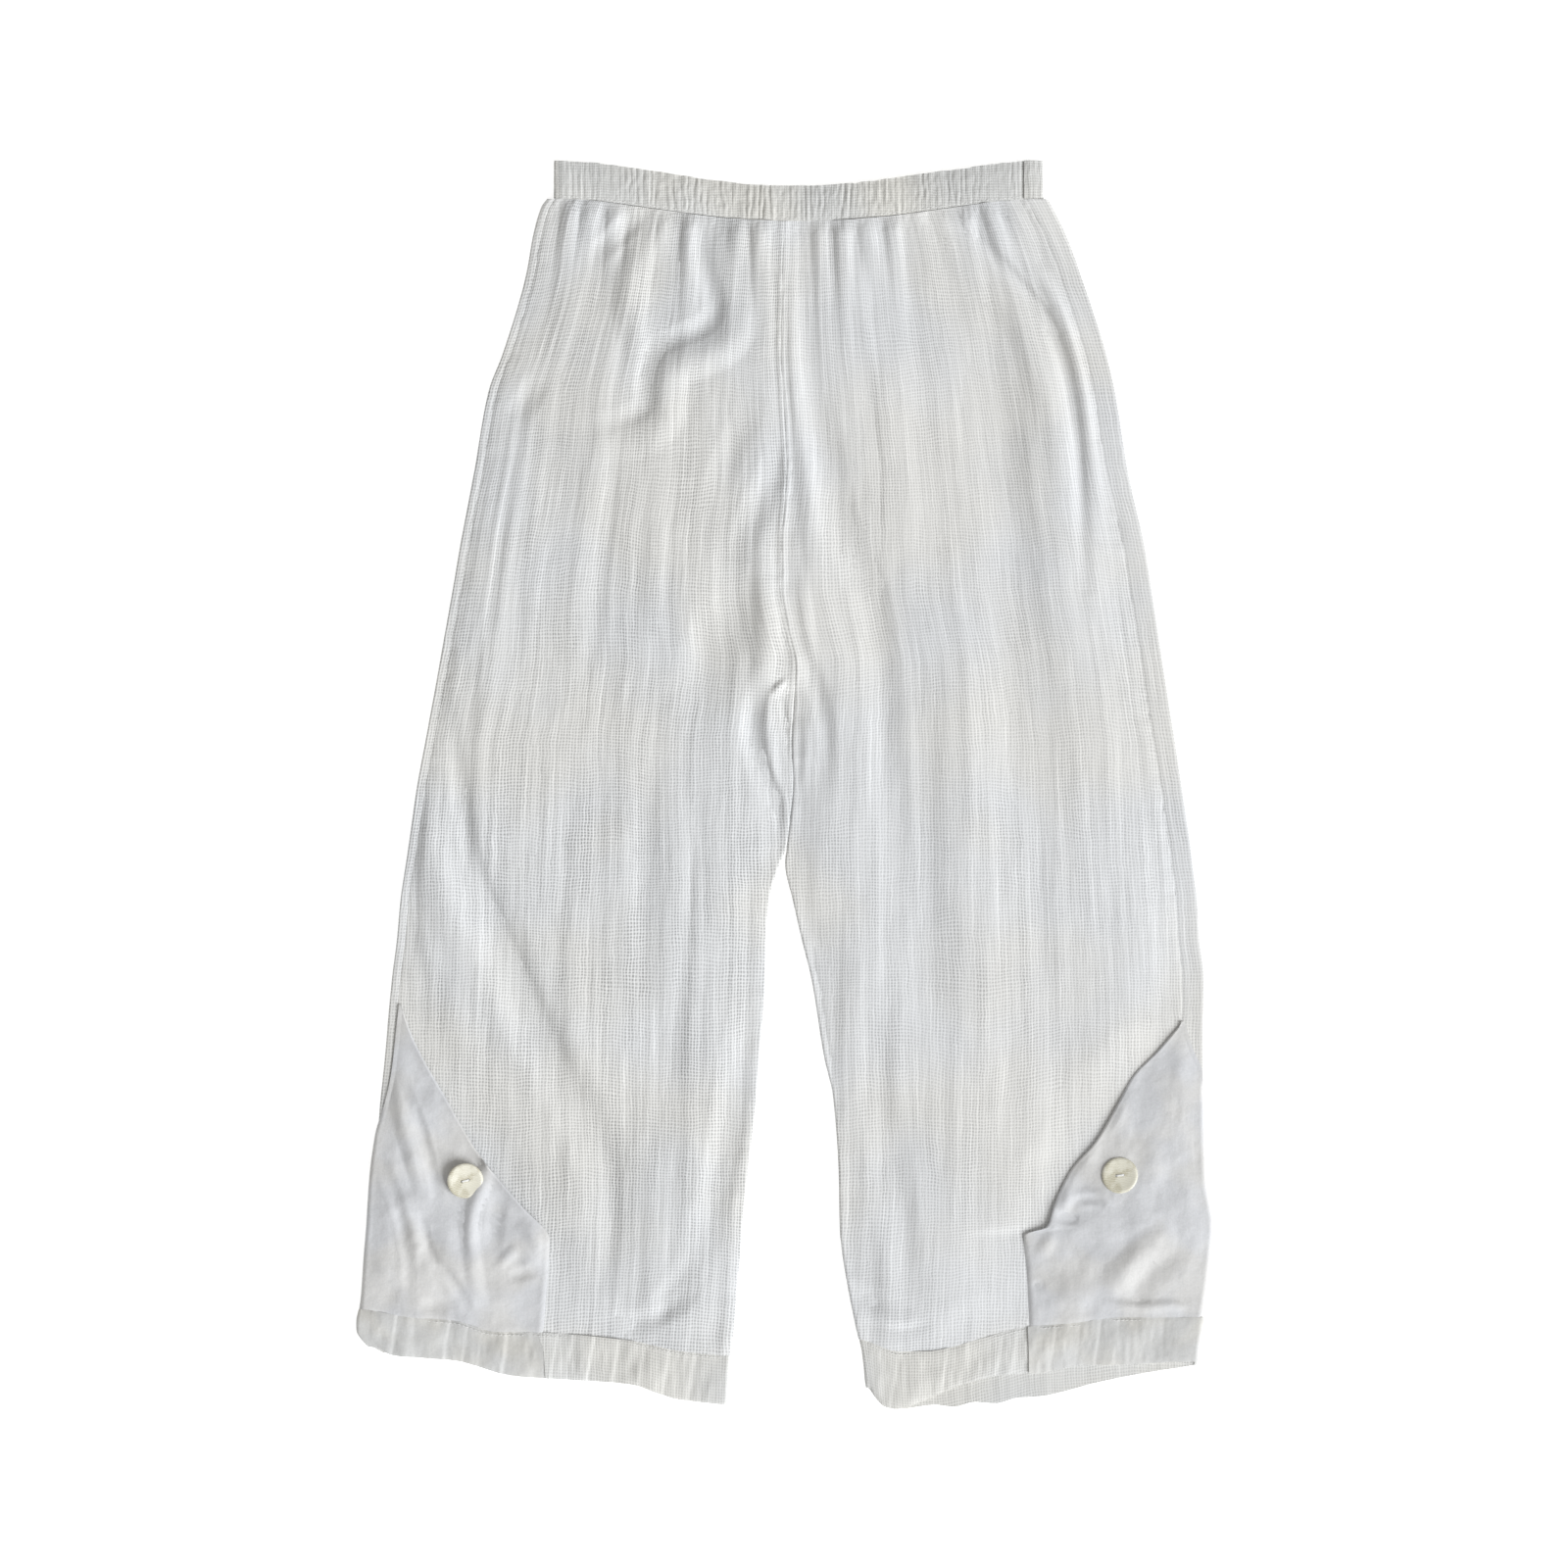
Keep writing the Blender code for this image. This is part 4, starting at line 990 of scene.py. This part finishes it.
def side_panel(leg):
    table = FLAPS[leg]
    level = np.linspace(0, len(table) - 1, FLAP_ROWS)
    at = Strip(*(curve(level, list(enumerate(values)))[:, None] for values in zip(*table)))
    edge = outline(leg, "side", at.outer_y) + INWARD[leg] * at.inset
    radius = np.minimum(height(at.outer_y) / 2 + OVERLAY + PLAIN, TIP_SHARE * np.abs(at.inner_x - edge))
    t = np.linspace(0, 1, FLAP_COLUMNS)
    x = mix(edge + INWARD[leg] * radius, at.inner_x, t)
    y = mix(at.outer_y, at.inner_y, t)
    seam = INWARD[leg] * side_seam(leg, HEM_LINE)
    last = curve(INWARD[leg] * np.maximum(INWARD[leg] * x[-1], seam), HEM_SEAMS[leg]) + 2 * SEAM
    y = y + (last - y[-1]) * smooth(level[:, None], len(table) - 2, len(table) - 1)
    side = y[:, :1]
    out, drop = turned_end(radius, at.curl)
    top = height(side) + OVERLAY + PLAIN
    lain = (1 - at.curl) * OVERLAY * TIP_SUNK * np.linspace(0, 1, TURN_STEPS) ** 2
    turn = (edge + INWARD[leg] * (radius - out[:, ::-1]), side, top - (drop + lain)[:, ::-1])
    z = flap_top(leg, x, y, at.inner_x, at.flare) - groove(y - last)
    z -= (z[:, :1] - top) * np.exp(-np.abs(x - x[:, :1]) / FLAP_BLEND)
    base = stack(turn, (x, y, z))
    fine = soft_floor(ripple_relief(PLAIN_RIPPLES, x, y, SEEDS[f"side_{leg}"]), PLAIN_LEAST, FLAP_TURN)
    fine *= smooth(np.abs(x - edge), *PLAIN_SIDE_RUN)
    fine *= smooth(np.abs(x - at.inner_x), *PLAIN_EDGE_RUN)
    relief = widened(fine, before=TURN_STEPS)
    names = f"cloth_side_{leg}", f"side_panel_{leg}"
    return wall(*names, base, relief, PLAIN_SHELL, True, plain, "plain_cloth")


def band_levels(x):
    """Y of the rows of the waistband, from its seam to its uneven top."""
    seam = waist_line(x, WAIST_SIDE, BAND_SAG) + SEAM
    top = waist_line(x, WAIST_TOP, BAND_TOP_SAG) - BAND_TOP_DROP
    top = ripple_relief(BAND_TOP_WAVES, x, 0 * x, SEEDS["band_top"], top)
    return mix(seam, top, np.linspace(0, 1, BAND_ROWS)[:, None])


def band_crown():
    """The section of the waistband from its seam to its top: crowned, with both edges turned in."""
    share = np.linspace(0, 1, BAND_ROWS)[:, None]
    edge = np.minimum(share, 1 - share) * (WAIST_TOP - WAIST_SIDE)
    return BAND_CROWN * smooth(edge, 0, CROWN_RUN) - CROWN_GROOVE * groove(edge)


def front_band():
    first = BAND_RIGHT + max(BAND_LIP_RIGHT, CASING + AIR / 2 + SEAM) + SEAM
    last = BAND_LEFT - BAND_LIP_LEFT - SEAM
    x = np.linspace(first, last, int((last - first) / BAND_STEP))
    y = band_levels(x)
    base = stack((x, y, 2 * CASING + AIR))
    end = np.minimum(x - first, last - x)
    strength = mix(RIGHT_RIBS, 1, smooth(x, first, first + RIGHT_RIB_RUN))
    strength = strength * mix(1, LEFT_RIBS, smooth(x, LEFT_RIBS_FROM, last))
    strength = strength * smooth(y - y[:1], *RIB_START) * smooth(end, 0, RIB_END_RUN)
    relief = band_crown() + rib(x, y) * strength - BAND_END_GROOVE * groove(end / 2)
    places = np.stack([x * GATHERED + 0 * y, y], axis=-1)
    return wall("band_front", "waistband_front", base, relief, CASING, True, casing, places=places)


def back_band():
    thick = 2 * CASING + AIR
    radius = thick / 2
    x = np.arange(BAND_RIGHT + radius, BAND_LEFT - radius, BACK_BAND_STEP)[1:-1]
    right_y, left_y = (band_levels(np.array([[end]])).reshape(-1, 1) for end in (BAND_RIGHT, BAND_LEFT))
    right = fold_round(BAND_RIGHT, 1, right_y, radius)
    left = np.broadcast_arrays(*fold_round(BAND_LEFT, -1, left_y, radius))
    lip = BAND_RIGHT + max(BAND_LIP_RIGHT, radius + SEAM)
    right_stub = np.linspace(lip, BAND_RIGHT + radius, RIGHT_STUB_COLUMNS + 1)[:-1]
    left_stub = np.linspace(BAND_LEFT - radius, BAND_LEFT - BAND_LIP_LEFT, LEFT_STUB_COLUMNS + 1)[1:]
    back = (x, band_levels(x), 0)
    round_left = [axis[:, ::-1] for axis in left]
    base = stack((right_stub, right_y, thick), right, back, round_left, (left_stub, left_y, thick))
    around = arc_uv(base, 0)[..., 0]
    crown = band_crown() * smooth(base[..., 2], 1, thick)
    ribs = rib(around, base[..., 1])
    stub = np.zeros(base.shape[1])
    angle = np.linspace(0, math.pi, LEFT_STUB_COLUMNS + 1)[:-1]
    stub[-LEFT_STUB_COLUMNS:] = STUB * np.sin(angle * STUB_ROUND)
    pressed = np.clip(ribs - BACK_RIB_SUNK, -BACK_RIB_MOST, 0)
    relief = mix(pressed, crown + BACK_RIBS * ribs + stub, smooth(base[..., 2], radius, thick))
    places = np.stack([around * GATHERED, base[..., 1]], axis=-1)
    return wall("band_back", "waistband_back", base, relief, CASING, False, casing, places=places)


# ---- Buttons, thread and stitches ----


def seat(leg, place):
    """How high a leaning button lies so that it just clears the smooth cloth all over its underside."""
    around = np.linspace(0, 2 * math.pi, SEAT_SIDES, endpoint=False)[:, None]
    radius = BUTTON_FOOT * BUTTON_RADIUS * np.array([0, 0.5, 1])
    dx, dy = radius * np.cos(around), radius * np.sin(around)
    x, y = place.x + dx, place.y + dy
    line = math.radians(place.line)
    rise = math.tan(math.radians(place.lean)) * (dy * math.cos(line) - dx * math.sin(line))
    free, flare = (column(FLAPS[leg], "inner_y", name, y) for name in ("inner_x", "flare"))
    return (flap_top(leg, x, y, free, flare, creased=0) - rise).max() + BUTTON_GAP


def button_mesh():
    """A dished disc, turned, with two holes for the thread."""
    mesh = bmesh.new()
    profile = np.delete(cut_corners(BUTTON_PROFILE), (1, -2), axis=0)
    points = [mesh.verts.new((out * BUTTON_RADIUS * MM, 0, up * BUTTON_THICK * MM)) for out, up in profile]
    for a, b in zip(points, points[1:]):
        mesh.edges.new((a, b))
    data = bpy.data.meshes.new("button_profile")
    mesh.to_mesh(data)
    mesh.free()
    disc = bpy.data.objects.new("button_disc", data)
    bpy.context.scene.collection.objects.link(disc)
    turn = disc.modifiers.new("Turn", "SCREW")
    turn.steps = turn.render_steps = BUTTON_SIDES
    turn.use_merge_vertices = True
    turn.merge_threshold = 1e-5
    turn.use_normal_calculate = True
    helpers = [disc]
    for place in (-BUTTON_HOLE_OFFSET, BUTTON_HOLE_OFFSET):
        bpy.ops.mesh.primitive_cylinder_add(
            vertices=HOLE_SIDES,
            radius=BUTTON_HOLE_RADIUS * MM,
            depth=3 * BUTTON_THICK * MM,
            location=(place * MM, 0, 0),
        )
        helpers.append(bpy.context.object)
        cut = disc.modifiers.new("Hole", "BOOLEAN")
        cut.operation = "DIFFERENCE"
        cut.object = helpers[-1]
    bpy.context.view_layer.update()
    graph = bpy.context.evaluated_depsgraph_get()
    made = bpy.data.meshes.new_from_object(disc.evaluated_get(graph))
    for helper in helpers:
        bpy.data.objects.remove(helper)
    made.shade_smooth()
    made.set_sharp_from_angle(angle=math.radians(BUTTON_RIM_ANGLE))
    return made


def button_thread(name, place):
    """The thread that shows between the two holes of a button."""
    shape = bpy.data.curves.new(name, "CURVE")
    shape.dimensions = "3D"
    shape.bevel_depth = STRAND_RADIUS * MM
    shape.bevel_resolution = 3
    shape.use_fill_caps = True
    bottom, top = STRAND_FOOT * BUTTON_THICK, BUTTON_DISH * BUTTON_THICK + STRAND_UP
    for side in STRANDS:
        spline = shape.splines.new("POLY")
        spline.points.add(STRAND_POINTS - 1)
        for point, share in zip(spline.points, np.linspace(-1, 1, STRAND_POINTS)):
            rise = mix(bottom, top, 1 - max(0, abs(share) - STRAND_FLAT) / (1 - STRAND_FLAT))
            reach = BUTTON_HOLE_OFFSET * STRAND_REACH * min(1, abs(share) / STRAND_STEEP)
            point.co = (math.copysign(reach, share) * MM, side * MM, rise * MM, 1)
    return add_piece(name, shape, thread, place)


def add_buttons():
    disc = button_mesh()
    for leg, at in BUTTONS.items():
        line = math.radians(at.line)
        lift = Matrix.Translation((at.x * MM, at.y * MM, seat(leg, at) * MM))
        turn = Matrix.Rotation(math.radians(at.lean), 4, Vector((math.cos(line), math.sin(line), 0)))
        place = lift @ turn @ Matrix.Rotation(math.radians(at.spin), 4, "Z")
        button = add_piece(f"pearl_button_{leg}", disc, pearl, place)
        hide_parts(f"button_{leg}")
        button_thread(f"button_thread_{leg}", place)


def stitch_line(name, *axes):
    """A row of stitches along points on the cloth, each a small spindle of thread lying in it."""
    points = np.stack(axes, axis=-1)
    along = np.concatenate([[0], np.cumsum(np.linalg.norm(np.diff(points, axis=0), axis=1))])
    mesh = bmesh.new()
    for at in np.arange(STITCH / 2, along[-1], STITCH):
        a, b = (
            np.array([np.interp(at + side * STITCH_LENGTH / 2, along, axis) for axis in points.T])
            for side in (-1, 1)
        )
        middle, run = Vector((a + b) / 2 * MM), Vector((b - a) * MM)
        place = Matrix.Translation(middle) @ run.to_track_quat("X", "Z").to_matrix().to_4x4()
        size = Matrix.Diagonal((run.length / 2, STITCH_RADIUS * MM, STITCH_RADIUS * MM, 1))
        bmesh.ops.create_uvsphere(mesh, u_segments=6, v_segments=5, radius=1, matrix=place @ size @ SPINDLE)
    data = bpy.data.meshes.new(name)
    mesh.to_mesh(data)
    mesh.free()
    data.shade_smooth()
    return add_piece(name, data, thread)


def add_stitches():
    for leg in ("right", "left"):
        t = np.linspace(*STITCHED, STITCH_SAMPLES)
        y = hem_line(leg, t, HEM_SEAMS) - STITCH_IN
        x = mix(side_seam(leg, y), flat_end(leg, y), t)
        raised = np.where(t < SPLIT, pleat_relief(leg, SIDE_PLEATS, x), pleat_relief(leg, PLEATS, x))
        z = height(y) + raised * smooth(np.minimum(t, 1 - t), *STITCH_ENDS) + STITCH_UP
        stitch_line(f"hem_stitches_{leg}", x, y, z)
    first, last = BAND_RIGHT + BAND_STITCH_ENDS[0], BAND_LEFT - BAND_LIP_LEFT - BAND_STITCH_ENDS[1]
    x = np.linspace(first, last, BAND_STITCH_SAMPLES)
    y = waist_line(x, WAIST_SIDE, BAND_SAG) + BAND_STITCH_IN
    stitch_line("casing_stitches", x, y, 2 * CASING + AIR + BAND_STITCH_UP + BAND_STITCH_RIBS * rib(x, y))


# ---- Materials ----

WARM, COOL = (1.0, 0.992, 0.965, 1), (0.972, 0.984, 1.0, 1)

# Patches of tone in a cloth: the scale of the noise for each metre, its detail and roughness, its
# length along the threads as the squeeze of that axis, the band of the noise that counts, and the
# tone at both ends of that band
Tone = namedtuple("Tone", "scale detail roughness squeeze low high dark light")
# Patches where the painted shade in the gaps of the gauze is darker or lighter
GAP_SHADE_PATCHES = Tone(26, 3, 0.5, 0.5, 0.32, 0.68, 0.72, 1.2)
STREAKS = Tone(230, 4, 0.65, 0.035, 0.34, 0.66, 0.972, 1.018)
CLOUDS = Tone(13, 3, 0.5, 0.45, 0.32, 0.68, -0.03, 0.02)
GAUZE_TINTS = Tone(7, 2, 0.5, 1, 0.38, 0.62, 0, 1)
PLAIN_CLOUDS = Tone(38, 4, 0.5, 1, 0.34, 0.66, 0.935, 1.035)
SLUB_TONES = (0.35, 0.75, -0.015, 0.015)
PLAIN_GRAIN = Tone(700, 2, 0.5, 1, 0.3, 0.7, -0.03, 0.03)
PLAIN_TINTS = Tone(21, 2, 0.5, 1, 0.4, 0.6, 0, 1)
PEARL_CLOUDS = Tone(130, 4, 0.5, 1, 0.4, 0.6, 0, 1)

# A set of threads: how wide they are, as the least height that counts, and how fast they change
Threads = namedtuple("Threads", "least change")
WARP_THREADS, WEFT_THREADS = Threads(0.35, 0.11), Threads(0.2, 0.08)
THREAD_STEP = 5.37
SLUB = 1.2
THREAD_SIDE = 0.9
# What changes along each warp thread: how fast, the band of the noise, and the values at its ends
Change = namedtuple("Change", "change low high least most")
# How much painted shade shows in the gaps beside each warp thread, changing slowly along it
GAP_SHADE_ALONG_WARP = Change(0.012, 0.36, 0.64, 0.72, 1.25)
COLUMN_STEP = 40
THICK_WARP = Change(0.02, 0.54, 0.68, 0, 0.085)
# The threads wander across and sway along the cloth: the scale of that noise, and how many threads
WANDER_SCALE, WANDER = 85, 1.1
SWAY_SCALE, SWAY, SWAY_SQUEEZE = 64, 1.5, 1.3
# Heights of the two sets, and how far each dips under the other
WARP_HEIGHT, WEFT_HEIGHT, DIP = 0.62, 0.75, 0.25
# Share of the gap between two rows that a warp thread covers, and how dark the painted shade is in the gaps
# between columns
CROSSED, COLUMN_GAP_SHADE = 0.8, 0.42
# Upwards the cloth grows a little darker: from and to, in metres, and the tones there
FADE = (-0.1, 0.38, 0, -0.03)
FIBRE = 0.16
# Depths of the bumps: crinkle and threads of the gauze, creases and threads of the smooth cloth
CRINKLE_DEPTH, THREAD_DEPTH = 1.0, 0.3
CREASE_DEPTH, PLAIN_DEPTH = 1.0, 0.12


def pick(sockets, name):
    """The socket of that identifier, written with _ for each space."""
    return next(socket for socket in sockets if socket.identifier.replace(" ", "_") == name)


class Wire:
    """What a node gives. The operators +, - and * add the nodes that work them out."""

    def __init__(self, tree, socket):
        self.tree, self.socket = tree, socket

    def __add__(self, other):
        return self.tree.maths("ADD", self, other)

    def __radd__(self, other):
        return self.tree.maths("ADD", other, self)

    def __mul__(self, other):
        return self.tree.maths("MULTIPLY", self, other)

    def __rsub__(self, other):
        return other + self * -1


class Tree:
    """The nodes of one material, with a short call for each kind that is used."""

    def __init__(self, name, colour, roughness):
        self.material = bpy.data.materials.new(name)
        self.material.use_nodes = True
        self.shade(Base_Color=(*colour, 1), Roughness=roughness)

    def shade(self, **inputs):
        """Sets inputs of the shader, and gives the material."""
        for name, value in inputs.items():
            self.put(value, pick(self.material.node_tree.nodes["Principled BSDF"].inputs, name))
        return self.material

    def put(self, value, socket):
        if isinstance(value, Wire):
            self.material.node_tree.links.new(value.socket, socket)
        else:
            socket.default_value = value

    def node(self, kind, *values, out=None, **named):
        """The wire from a new node. Names with a capital are its inputs, and others its settings."""
        made = self.material.node_tree.nodes.new("ShaderNode" + kind)
        for name, value in named.items():
            if name[0].isupper():
                self.put(value, pick(made.inputs, name))
            else:
                setattr(made, name, value)
        for value, socket in zip(values, made.inputs):
            self.put(value, socket)
        return Wire(self, pick(made.outputs, out) if out else made.outputs[0])

    def maths(self, operation, *values):
        return self.node("Math", *values, operation=operation)

    def split(self, vector):
        """X and Y of a vector."""
        x = self.node("SeparateXYZ", vector)
        return x, Wire(self, x.socket.node.outputs["Y"])

    def noise(self, vector, scale, detail=2, roughness=0.5, squeeze=1):
        if squeeze != 1:
            vector = self.node("VectorMath", vector, (1, squeeze, 1), operation="MULTIPLY")
        return self.node("TexNoise", Vector=vector, Scale=scale, Detail=detail, Roughness=roughness)

    def between(self, *values):
        """Turns a value from one band into another, or into 0 to 1, with a soft turn at both ends."""
        return self.node("MapRange", *values, interpolation_type="SMOOTHSTEP")

    def tone(self, vector, row, size=1):
        value = self.noise(vector, row.scale, row.detail, row.roughness, row.squeeze)
        return self.between(value, row.low, row.high, row.dark * size, row.light * size)

    def along_thread(self, own, other, change):
        """Noise that is the same across a thread, and changes slowly along it."""
        return self.noise(self.node("CombineXYZ", own, other * change), 1, detail=1)

    def changing(self, own, other, row):
        return self.between(self.along_thread(own, other, row.change), row.low, row.high, row.least, row.most)

    def blend(self, factor, a, b, kind="MIX"):
        settings = {"data_type": "RGBA", "blend_type": kind}
        return self.node("Mix", factor, out="Result_Color", **settings, A_Color=a, B_Color=b)

    def tinted(self, uv, tints, shade, colour):
        """The shade, in patches of warm and cool white, over the colour of the cloth."""
        base = self.blend(self.tone(uv, tints), WARM, COOL)
        base = self.blend(1, base, self.node("CombineXYZ", shade, shade, shade), "MULTIPLY")
        return self.blend(1, base, (*colour, 1), "MULTIPLY")

    def bump(self, relief, strength, distance, **below):
        return self.node("Bump", Height=relief, Strength=strength, Distance=distance, **below)


def thread_set(tree, at, other, threads):
    """One set of threads, thick and thin along their length: 1 on a thread and 0 in the gap beside it,
    and a number for each thread."""
    line = tree.maths("COSINE", at * (2 * math.pi))
    own = tree.maths("ROUND", at) * THREAD_STEP
    start = threads.least + tree.along_thread(own, other, threads.change) * -SLUB
    return tree.between(line, start, start + THREAD_SIDE), own


def woven(name, pitch, colour, depth, bump):
    """An open weave on the flat cloth: threads over and under each other, with painted shade in the gaps,
    mostly between rows, for the shaded layer that shows through them. depth is how dark that painted shade
    is, and pitch how far apart the threads lie."""
    tree = Tree(name, colour, 0.85)
    uv = tree.node("UVMap", uv_map="weave")
    across, along = tree.split(uv)
    wander = (tree.noise(uv, WANDER_SCALE, detail=3) + -0.5) * WANDER
    sway = (tree.noise(uv, SWAY_SCALE, detail=3, squeeze=SWAY_SQUEEZE) + -0.5) * SWAY
    u = across * (1 / (pitch * WARP * MM)) + wander
    v = along * (1 / (pitch * WEFT * MM)) + sway
    warp, own = thread_set(tree, u, v, WARP_THREADS)
    weft, _ = thread_set(tree, v, u, WEFT_THREADS)
    over = tree.maths("COSINE", u * math.pi) * tree.maths("COSINE", v * math.pi)
    cloth = tree.maths("MAXIMUM", warp * (WARP_HEIGHT + over * DIP), weft * (WEFT_HEIGHT + over * -DIP))

    # Painted shade: the gaps between the threads are darkened in the colour, for the shaded layer below that
    # shows through them
    between_rows = (1 - weft) * (1 + warp * -CROSSED)
    gap = tree.maths("MAXIMUM", between_rows, (1 - warp) * COLUMN_GAP_SHADE)
    gap_shade_by_warp = tree.changing(own + COLUMN_STEP, v, GAP_SHADE_ALONG_WARP)
    shade = 1 - gap * (tree.tone(uv, GAP_SHADE_PATCHES, depth) * gap_shade_by_warp)
    thick = tree.changing(own, v, THICK_WARP)
    tone = tree.tone(uv, STREAKS) + tree.tone(uv, CLOUDS)
    tone = tone + tree.between(along, *FADE) + thick * warp

    crinkle = tree.bump(tree.noise(uv, 260, squeeze=0.12), bump, CRINKLE_DEPTH * MM)
    relief = cloth + tree.noise(uv, 2600, squeeze=0.35) * FIBRE
    return tree.shade(
        Base_Color=tree.tinted(uv, GAUZE_TINTS, shade * tone, colour),
        Normal=tree.bump(relief, bump, THREAD_DEPTH * MM, Normal=crinkle),
        Sheen_Weight=0.12,
        Sheen_Roughness=0.5,
        Specular_IOR_Level=0.25,
    )


def smooth_cloth(name, colour):
    """The close plain weave of the side panels, with soft mottling, lighter and darker in patches at random.
    """
    tree = Tree(name, colour, 0.72)
    uv = tree.node("UVMap", uv_map="weave")
    across, along = tree.split(uv)
    u = across * (2 * math.pi / (PLAIN_THREAD * MM))
    v = along * (2 * math.pi / (PLAIN_THREAD * 1.1 * MM))
    grid = tree.maths("SINE", u) * tree.maths("SINE", v)
    slub = tree.noise(uv, 900, squeeze=0.04)
    tone = tree.tone(uv, PLAIN_CLOUDS) + tree.between(slub, *SLUB_TONES)
    creased = tree.bump(tree.noise(uv, 110, detail=4, roughness=0.6), 0.6, CREASE_DEPTH * MM)
    return tree.shade(
        Base_Color=tree.tinted(uv, PLAIN_TINTS, tone + tree.tone(uv, PLAIN_GRAIN), colour),
        Normal=tree.bump(grid * 0.5 + slub, 0.3, PLAIN_DEPTH * MM, Normal=creased),
        Sheen_Weight=0.2,
        Sheen_Roughness=0.4,
        Specular_IOR_Level=0.35,
    )


def pearl_shell(name):
    """Mother-of-pearl: cream, in thin wavy layers of its own, with a painted sheen along the pale bands where
    they catch the light.
    """
    tree = Tree(name, (0.62, 0.59, 0.47), 0.42)
    place = tree.node("TexCoord", out="Object")
    waves = {"wave_type": "BANDS", "bands_direction": "Y", "Scale": 260, "Distortion": 7, "Detail": 3}
    layers = tree.node("TexWave", out="Fac", Vector=place, Detail_Scale=1.4, **waves)
    base = tree.blend(tree.tone(place, PEARL_CLOUDS), (0.49, 0.46, 0.34, 1), (0.68, 0.66, 0.55, 1))
    # The pale wavy bands are the shell's own layers, painted brighter as a painted sheen
    base = tree.blend(tree.between(layers, 0.2, 0.9, 0, 0.4), base, (0.84, 0.82, 0.74, 1))
    normal = tree.bump(layers, 0.3, 0.2 * MM)
    return tree.shade(Base_Color=base, Normal=normal, Coat_Weight=0.2, Coat_Roughness=0.12)


def sewing_thread(name):
    tree = Tree(name, (0.86, 0.86, 0.85), 0.6)
    twist = tree.noise(tree.node("TexCoord", out="Object"), 5000, detail=1)
    base = tree.blend(tree.between(twist, 0.3, 0.7), (0.80, 0.80, 0.79, 1), (0.9, 0.9, 0.89, 1))
    return tree.shade(Base_Color=base, Normal=tree.bump(twist, 0.3, 0.05 * MM))


# ---- Floor, light and camera ----


def set_stage():
    bpy.ops.mesh.primitive_plane_add(size=FLOOR_SIZE, location=(0, 0, -FLOOR_DROP * MM))
    floor = bpy.context.object
    floor.name = "floor"
    surface = Tree("pale_floor", (0.93, 0.93, 0.93), 0.9)
    surface.shade(Specular_IOR_Level=0, Emission_Color=(1, 1, 1, 1), Emission_Strength=FLOOR_GLOW)
    floor.data.materials.append(surface.material)


def set_lights():
    world = bpy.data.worlds.new("soft_room")
    bpy.context.scene.world = world
    world.use_nodes = True
    sky = world.node_tree.nodes["Background"]
    sky.inputs["Color"].default_value = (1.0, 0.99, 0.965, 1)
    sky.inputs["Strength"].default_value = SKY
    lamp = bpy.data.lights.new("window", "SUN")
    lamp.energy = SUN
    lamp.color = (0.97, 0.985, 1.0)
    lamp.angle = math.radians(SUN_SPREAD)
    sun = bpy.data.objects.new("window", lamp)
    sun.rotation_euler = Vector(SUN_FROM).to_track_quat("Z", "Y").to_euler()
    bpy.context.scene.collection.objects.link(sun)


def set_camera():
    data = bpy.data.cameras.new("camera")
    data.sensor_width = SENSOR
    data.lens = SENSOR * CAMERA_HEIGHT / (PIXELS * PIXEL * MM)
    data.clip_start, data.clip_end = 0.1, 100
    camera = bpy.data.objects.new("camera", data)
    middle = PIXELS / 2
    x, y = (middle - MIDDLE_PIXEL[0]) * PIXEL, (MIDDLE_PIXEL[1] - middle) * PIXEL
    camera.location = (x * MM, y * MM, CAMERA_HEIGHT + height(0) * MM)
    bpy.context.scene.collection.objects.link(camera)
    bpy.context.scene.camera = camera
    bpy.context.scene.view_settings.view_transform = "Standard"


looks = bpy.data.collections.new("gaucho_pants_looks")
bpy.context.scene.collection.children.link(looks)
gauzes = {
    "right": woven("open_gauze", 1.0, (0.795, 0.795, 0.795), depth=0.38, bump=0.42),
    "left": woven("open_gauze_even", 1.0, (0.79, 0.79, 0.792), depth=0.28, bump=0.36),
}
hem_gauze = woven("gauze_doubled", 0.9, (0.735, 0.732, 0.72), depth=0.2, bump=0.42)
casing = woven("gathered_casing", 0.8, (0.72, 0.713, 0.692), depth=0.26, bump=0.6)
plain = smooth_cloth("plain_weave", (0.65, 0.65, 0.66))
hem_plain = smooth_cloth("plain_weave_hem", (0.625, 0.62, 0.605))
pearl = pearl_shell("mother_of_pearl")
thread = sewing_thread("sewing_thread")

# The cut of a piece of cloth: width, length and area in metres, and how it is held
Cut = namedtuple("Cut", "width length area held")


for side in ("right", "left"):
    back = back_panel(side)
    front_panel(side)
    back_edge = back_hem(side)
    front_hem(side)
    side_hem(side)
    side_panel(side)
band = back_band()
front_band()
add_buttons()
add_stitches()
set_stage()
set_lights()
set_camera()
